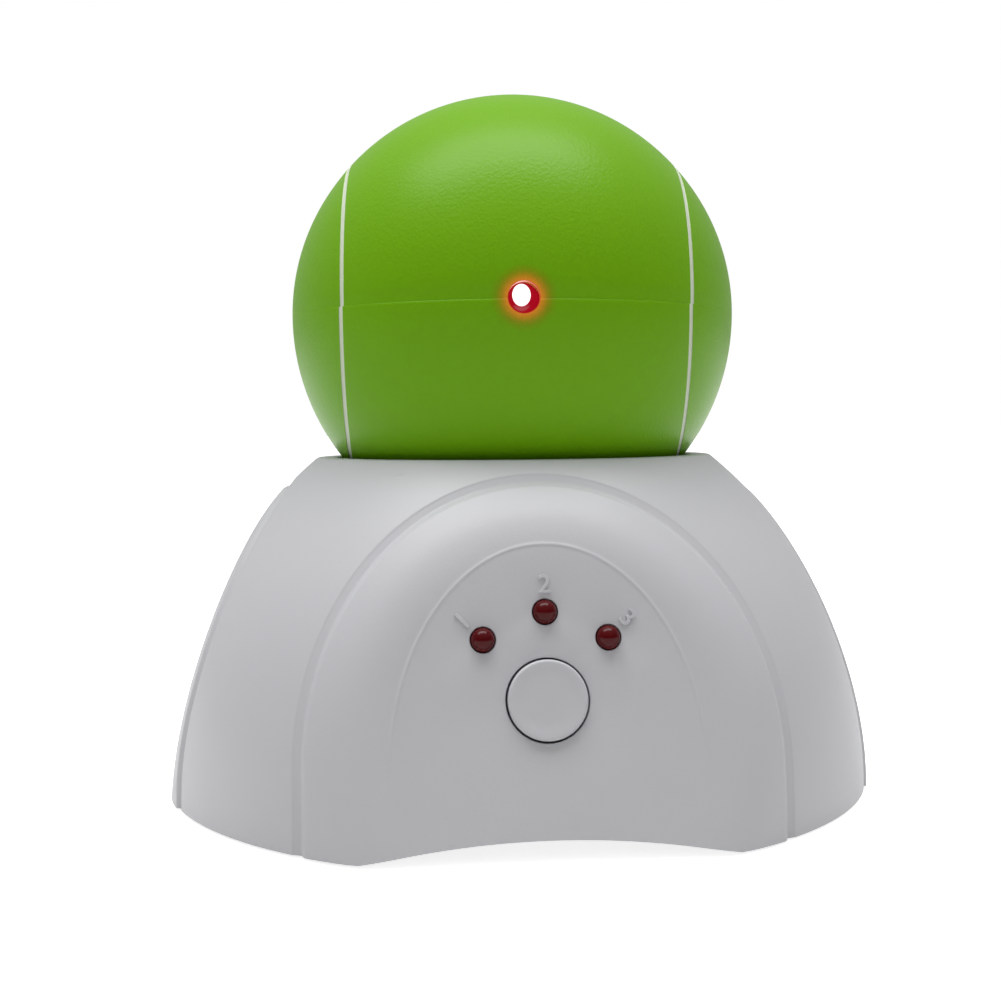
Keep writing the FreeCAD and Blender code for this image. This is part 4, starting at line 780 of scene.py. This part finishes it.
def headFinish():
    finish = Finish("head_green_finish")
    where = headPlace(finish)
    cloud = finish.noise(where, leather["cloudScale"], detail=3)
    grain = finish.cells(where, leather["grainScale"], leather["grainSmooth"])
    fine = finish.noise(where, leather["fineScale"], detail=2, rough=0.6)
    inFront = 1 - finish.between(finish.part(where, "Y"), laser["frontFrom"] * mm, 0)
    hole = fromAxis(finish, where, head["apertureSide"], head["apertureUp"])
    rippled = hole + fine * (laser["ripple"] * mm)
    # painted light: the laser's light laid on the shell round the aperture, fading outwards with a rippled
    # edge
    halo = (1 - finish.between(rippled, head["aperture"] * mm, laser["glowReach"] * mm)) * inFront
    # painted red light of the laser on the wall of the hole
    redLightFrom = (head["aperture"] + laser["redLightFrom"]) * mm
    redLightTo = (head["aperture"] + laser["redLightTo"]) * mm
    wall = (1 - finish.between(hole, redLightFrom, redLightTo)) * inFront
    green = finish.mix(cloud, fromScreen(*leather["colour"]), fromScreen(*leather["shade"]))
    # the painted laser light mixed into the green
    greenWithPaintedLight = finish.mix(halo * laser["paintedLightShare"], green, fromScreen(*laser["paintedLight"]))
    marked = finish.mix(whiteLines(finish, where), greenWithPaintedLight, fromScreen(*leather["line"]))
    relief = grain + fine * leather["fineShare"]
    return finish.dress(
        baseColor=finish.mix(wall, marked, fromScreen(*laser["wall"])),
        roughness=fine * leather["fineRough"] + cloud * leather["cloudRough"] + leather["roughness"],
        normal=finish.bump(relief, leather["grainStrength"], leather["grainDepth"]),
        # the shell glows round the aperture: the laser's light painted as emission
        emissionColor=finish.mix(halo * halo * halo, (0, 0, 0, 1), laser["glow"]),
        emissionStrength=laser["glowStrength"], iOR=leather["iOR"], specularIORLevel=leather["specular"])


makeHead(headFinish())
print("stage: head")


# Mode button: a round cap with a soft edge and a slight dish, a flange behind the wall and a stem
def makeButton(material):
    cap, proud, edge, flange = button["cap"], button["proud"], button["edge"], button["flange"]
    profile = [(0, button["stemLow"]), (button["stem"], button["stemLow"]),
               (button["stem"], button["flangeLow"]), (flange, button["flangeLow"]),
               (flange, button["flangeTop"]), (cap, button["flangeTop"]), (cap, 0)]
    profile += arcPoints((cap - edge, proud - edge), edge, 0, 90, button["edgeSteps"])
    rim = cap - edge
    profile += [(rim * share, proud - button["dish"] * float(ease((1 - share) / button["dishEdge"])))
                for share in button["dishShares"]]
    piece = turnedPiece("mode_button_cap", profile, faceFrame, material, "button", button["steps"],
                        button["sharp"])
    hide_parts("mode_button")


# Lamps: 3 mm domes of red tinted plastic on a small flange
def makeLamps(material):
    radius, flange = lamp["radius"], lamp["flange"]
    foot = lamp["standOut"] - lamp["length"]
    flangeTop = foot + lamp["flangeHeight"]
    middle = lamp["standOut"] - radius
    profile = [(0, foot), (flange, foot), (flange, flangeTop), (radius, flangeTop), (radius, middle)]
    profile += arcPoints((0, middle), radius, lamp["domeFrom"], 90, lamp["domeSteps"])
    for name, (x, y) in zip(("led_left", "led_middle", "led_right"), lampSpots):
        matrix = faceFrame @ Matrix.Translation((x, y, 0))
        piece = turnedPiece(name + "_dome", profile, matrix, material, "base", lamp["steps"], lamp["sharp"])
        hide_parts(name)


def lampFinish():
    finish = Finish("lamp_red_finish")
    cloud = finish.noise(finish.place(), lamp["cloudScale"], detail=2)
    return finish.dress(
        baseColor=finish.mix(cloud, fromScreen(*lamp["colour"]), fromScreen(*lamp["shade"])),
        roughness=cloud * lamp["cloudRough"] + lamp["roughness"], iOR=lamp["iOR"],
        specularIORLevel=lamp["specular"])


# Raised plain numerals beside the lamps, moulded in the shell's own plastic. A digit of Blender's own font
# is about 0.7 of its size high
numerals = {"circle": 14.0, "height": 2.2, "digitShare": 0.7, "raised": 0.26, "sunk": 0.05, "edge": 0.05,
            "weld": 5e-4}


def makeNumerals(material):
    for number, turn in enumerate(lampTurns, start=1):
        curve = bpy.data.curves.new("numeral", "FONT")
        curve.body = str(number)
        curve.size = numerals["height"] / numerals["digitShare"]
        curve.align_x, curve.align_y = "CENTER", "CENTER"
        curve.extrude = (numerals["raised"] + numerals["sunk"]) / 2 - numerals["edge"]
        curve.bevel_depth = numerals["edge"]
        curve.bevel_resolution = 2
        text = bpy.data.objects.new("numeral", curve)
        bpy.context.scene.collection.objects.link(text)
        mesh = bpy.data.meshes.new_from_object(text.evaluated_get(bpy.context.evaluated_depsgraph_get()))
        bpy.data.objects.remove(text)
        work = bmesh.new()
        work.from_mesh(mesh)
        bmesh.ops.remove_doubles(work, verts=work.verts, dist=numerals["weld"])
        bmesh.ops.recalc_face_normals(work, faces=work.faces)
        work.to_mesh(mesh)
        work.free()
        lift = Matrix.Translation((0, numerals["circle"], (numerals["raised"] - numerals["sunk"]) / 2))
        mesh.transform(Matrix.Scale(mm, 4) @ faceFrame @ Matrix.Rotation(-math.radians(turn), 4, "Z") @ lift)
        mesh.materials.clear()
        mesh.materials.append(material)
        piece = setDown(bpy.data.objects.new("numeral_%d" % number, mesh), "base")


# Lit lens: a stem in the barrel's mouth and a shallow red window in front of it, white-hot off its middle
def makeLens(material):
    edge, top, reach = laser["windowEdge"], laser["windowTop"], laser["window"]
    sphere = (reach ** 2 + (top - edge) ** 2) / 2 / (top - edge)
    slope = math.degrees(math.acos(reach / sphere))
    profile = [(0, laser["barrelFoot"]), (laser["barrel"], laser["barrelFoot"]),
               (laser["barrel"], laser["windowFoot"]), (reach, laser["windowFoot"])]
    profile += arcPoints((0, top - sphere), sphere, slope, 90, laser["windowSteps"])
    forward = headFrame @ Matrix.Rotation(quarter, 4, "X")
    piece = turnedPiece("laser_lens_window", profile, forward, material, "head", laser["steps"],
                        laser["sharp"])
    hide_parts("laser_lens")


def glowFinish():
    finish = Finish("lens_glow_finish")
    where = headPlace(finish)
    cloud = finish.noise(where, laser["cloudScale"], detail=2)
    core = 1 - finish.between(fromAxis(finish, where, *laser["core"], laser["coreSqueeze"]),
                              laser["coreInner"] * mm, laser["coreOuter"] * mm)
    return finish.dress(
        baseColor=finish.mix(cloud, fromScreen(*laser["colour"]), fromScreen(*laser["shade"])),
        roughness=cloud * laser["cloudRough"] + laser["roughness"],
        emissionColor=finish.mix(core, laser["rimColour"], laser["coreColour"]),
        emissionStrength=laser["coreStrength"])


makeButton(plasticFinish("button_white_finish", (192, 192, 195), (187, 187, 191), 0.4, 0.45, 2600))
makeLamps(lampFinish())
makeNumerals(whiteFinish)
makeLens(glowFinish())
print("stage: button, lamps, numerals and lens")

# Finishes of the pieces that keep the shape they have in the frame. Plastics: colour, second colour,
# roughness, strength and scale of the grain, nodes. Metals: colour, second colour, roughness, nodes
framePlastics = {
    "cover_white_finish": ((190, 190, 193), (185, 185, 189), 0.5, 0.6, 2200, [
        "bottom_cover", "battery_door"]),
    "foot_rubber_finish": ((46, 46, 48), (38, 38, 40), 0.8, 0.9, 3200, ["rubber_feet"]),
    "cell_jacket_finish": ((52, 66, 92), (46, 58, 84), 0.3, 0.1, 900, ["battery_cells"]),
    "board_green_finish": ((28, 92, 52), (22, 80, 46), 0.35, 0.3, 1500, ["circuit_board", "laser_board"]),
    "chip_black_finish": ((34, 34, 36), (28, 28, 30), 0.5, 0.5, 3000, [
        "control_chip", "tact_switch_body", "brush_block", "motor_end_cap", "slip_ring_hub",
        "switch_plunger"]),
    "frame_grey_finish": ((118, 120, 124), (110, 112, 116), 0.5, 0.6, 2200, [
        "chassis_plate", "bearing_bridge", "gearbox_case", "laser_clamp"]),
    "gear_white_finish": ((222, 222, 216), (214, 214, 208), 0.35, 0.2, 1800, ["drive_gear", "turntable"]),
}
frameMetals = {
    "steel_finish": ((196, 197, 200), (178, 180, 184), 0.3, [
        "battery_door_screw", "cover_screws", "contact_springs", "contact_plates", "board_screws",
        "led_leads", "chassis_screws", "bridge_screws", "motor_can", "motor_screws", "output_shaft",
        "drive_shaft", "shaft_clip", "turntable_screws", "head_screws", "laser_diode", "clamp_screws"]),
    "brass_finish": ((216, 180, 100), (198, 160, 84), 0.3, [
        "lower_bushing", "upper_bushing", "brush_leaves", "drive_pinion", "slip_rings", "laser_housing"]),
}
for makeFinish, table in ((plasticFinish, framePlastics), (metalFinish, frameMetals)):
    for finishName, (*settings, dressed) in table.items():
        finish = makeFinish(finishName, *settings)
        for name in dressed:
            nodes[name].data.materials[0] = finish
print("stage: finishes of the frame's own pieces")

# Camera: the photograph's place and angle, worked out from the toy's own sizes. Its place is in
# millimetres, its angles in radians and its lens in millimetres of focal length
view = {"place": (-19.0207, -204.4539, 52.2185), "pitch": 0.056355, "pan": 0.083182, "roll": -0.009585,
        "lens": 48.99, "sensor": 36, "nearest": 0.01}


def makeCamera():
    pitch, pan, roll = view["pitch"], view["pan"], view["roll"]
    forward = Vector((math.sin(pan) * math.cos(pitch), math.cos(pan) * math.cos(pitch), -math.sin(pitch)))
    right = Vector((math.cos(pan), -math.sin(pan), 0))
    up = right.cross(forward)
    across = right * math.cos(roll) + up * math.sin(roll)
    above = up * math.cos(roll) - right * math.sin(roll)
    lens = bpy.data.cameras.new("camera")
    lens.sensor_width = view["sensor"]
    lens.lens = view["lens"]
    lens.clip_start = view["nearest"]
    camera = bpy.data.objects.new("camera", lens)
    turn = Matrix((across, above, -forward)).transposed().to_4x4()
    camera.matrix_world = Matrix.Translation(Vector(view["place"]) * mm) @ turn
    bpy.context.scene.collection.objects.link(camera)
    bpy.context.scene.camera = camera


# Room: a pale floor and a white surround to the eye. What lights the toy is a softer room, pale above and
# behind and dimmer in front, and one wide lamp overhead. Metres, watts, and strengths of the surround
room = {
    "half": 6.0, "floor": (0.66, 0.66, 0.66, 1), "floorGlow": 0.82,
    "front": 0.16, "above": 0.45, "aboveSpan": (0.0, 0.9), "behind": 0.21, "behindSpan": (-0.8, 0.6),
    "frontShown": 0.02, "roomShown": 0.45,
    "lamp": {"place": (-0.06, -0.04, 0.88), "aim": (0, 0, 0.05), "width": 0.95, "depth": 0.36,
             "watts": 7.8},
}


def makeFloor():
    # white to the eye and in reflections, while the toy's shadow still darkens it
    mesh = bpy.data.meshes.new("floor")
    corners = [(x * room["half"], y * room["half"], 0) for x, y in ((-1, -1), (1, -1), (1, 1), (-1, 1))]
    mesh.from_pydata(corners, [], [(0, 1, 2, 3)])
    floor = bpy.data.objects.new("floor", mesh)
    bpy.context.scene.collection.objects.link(floor)
    material = bpy.data.materials.new("floor_finish")
    sheet = Sheet(material)
    seen = sheet.rays("Camera", "Glossy", "Transmission")
    matte = sheet.node("ShaderNodeBsdfDiffuse", {}, {"Color": room["floor"]})
    glow = sheet.node("ShaderNodeEmission", {}, {
        "Color": (1, 1, 1, 1), "Strength": seen * room["floorGlow"]})
    both = sheet.node("ShaderNodeAddShader", {}, {0: matte, 1: glow})
    sheet.node("ShaderNodeOutputMaterial", {}, {"Surface": both}, None)
    mesh.materials.append(material)


def makeRoom():
    world = bpy.data.worlds.new("room")
    sheet = Sheet(world)
    toward = sheet.node("ShaderNodeTexCoord", {}, {}, "Generated")
    high = sheet.between(sheet.part(toward, "Z"), *room["aboveSpan"])
    behind = sheet.between(sheet.part(toward, "Y"), *room["behindSpan"])
    seen = sheet.rays("Camera", "Transmission")
    mirrored = sheet.rays("Glossy")
    lit = high * room["above"] + behind * room["behind"] + room["front"]
    shown = sheet.arithmetic("MAXIMUM", high, behind) * room["roomShown"] + room["frontShown"]
    unseen = mirrored * shown + (1 - mirrored) * lit
    back = sheet.node("ShaderNodeBackground", {}, {
        "Color": (1, 1, 1, 1), "Strength": seen + (1 - seen) * unseen})
    sheet.node("ShaderNodeOutputWorld", {}, {"Surface": back}, None)
    bpy.context.scene.world = world


def makeLight():
    # the lamp shines along its own -Z, and its long side stays level with X
    settings = room["lamp"]
    light = bpy.data.lights.new("strip", "AREA")
    light.shape = "RECTANGLE"
    light.size, light.size_y, light.energy = settings["width"], settings["depth"], settings["watts"]
    strip = bpy.data.objects.new("strip", light)
    back = (Vector(settings["place"]) - Vector(settings["aim"])).normalized()
    side = (Vector((1, 0, 0)) - back * back.x).normalized()
    turn = Matrix((side, back.cross(side), back)).transposed().to_4x4()
    strip.matrix_world = Matrix.Translation(settings["place"]) @ turn
    bpy.context.scene.collection.objects.link(strip)


makeCamera()
makeFloor()
makeRoom()
makeLight()
bpy.context.scene.view_settings.view_transform = "Standard"
print("stage: camera, floor and light")
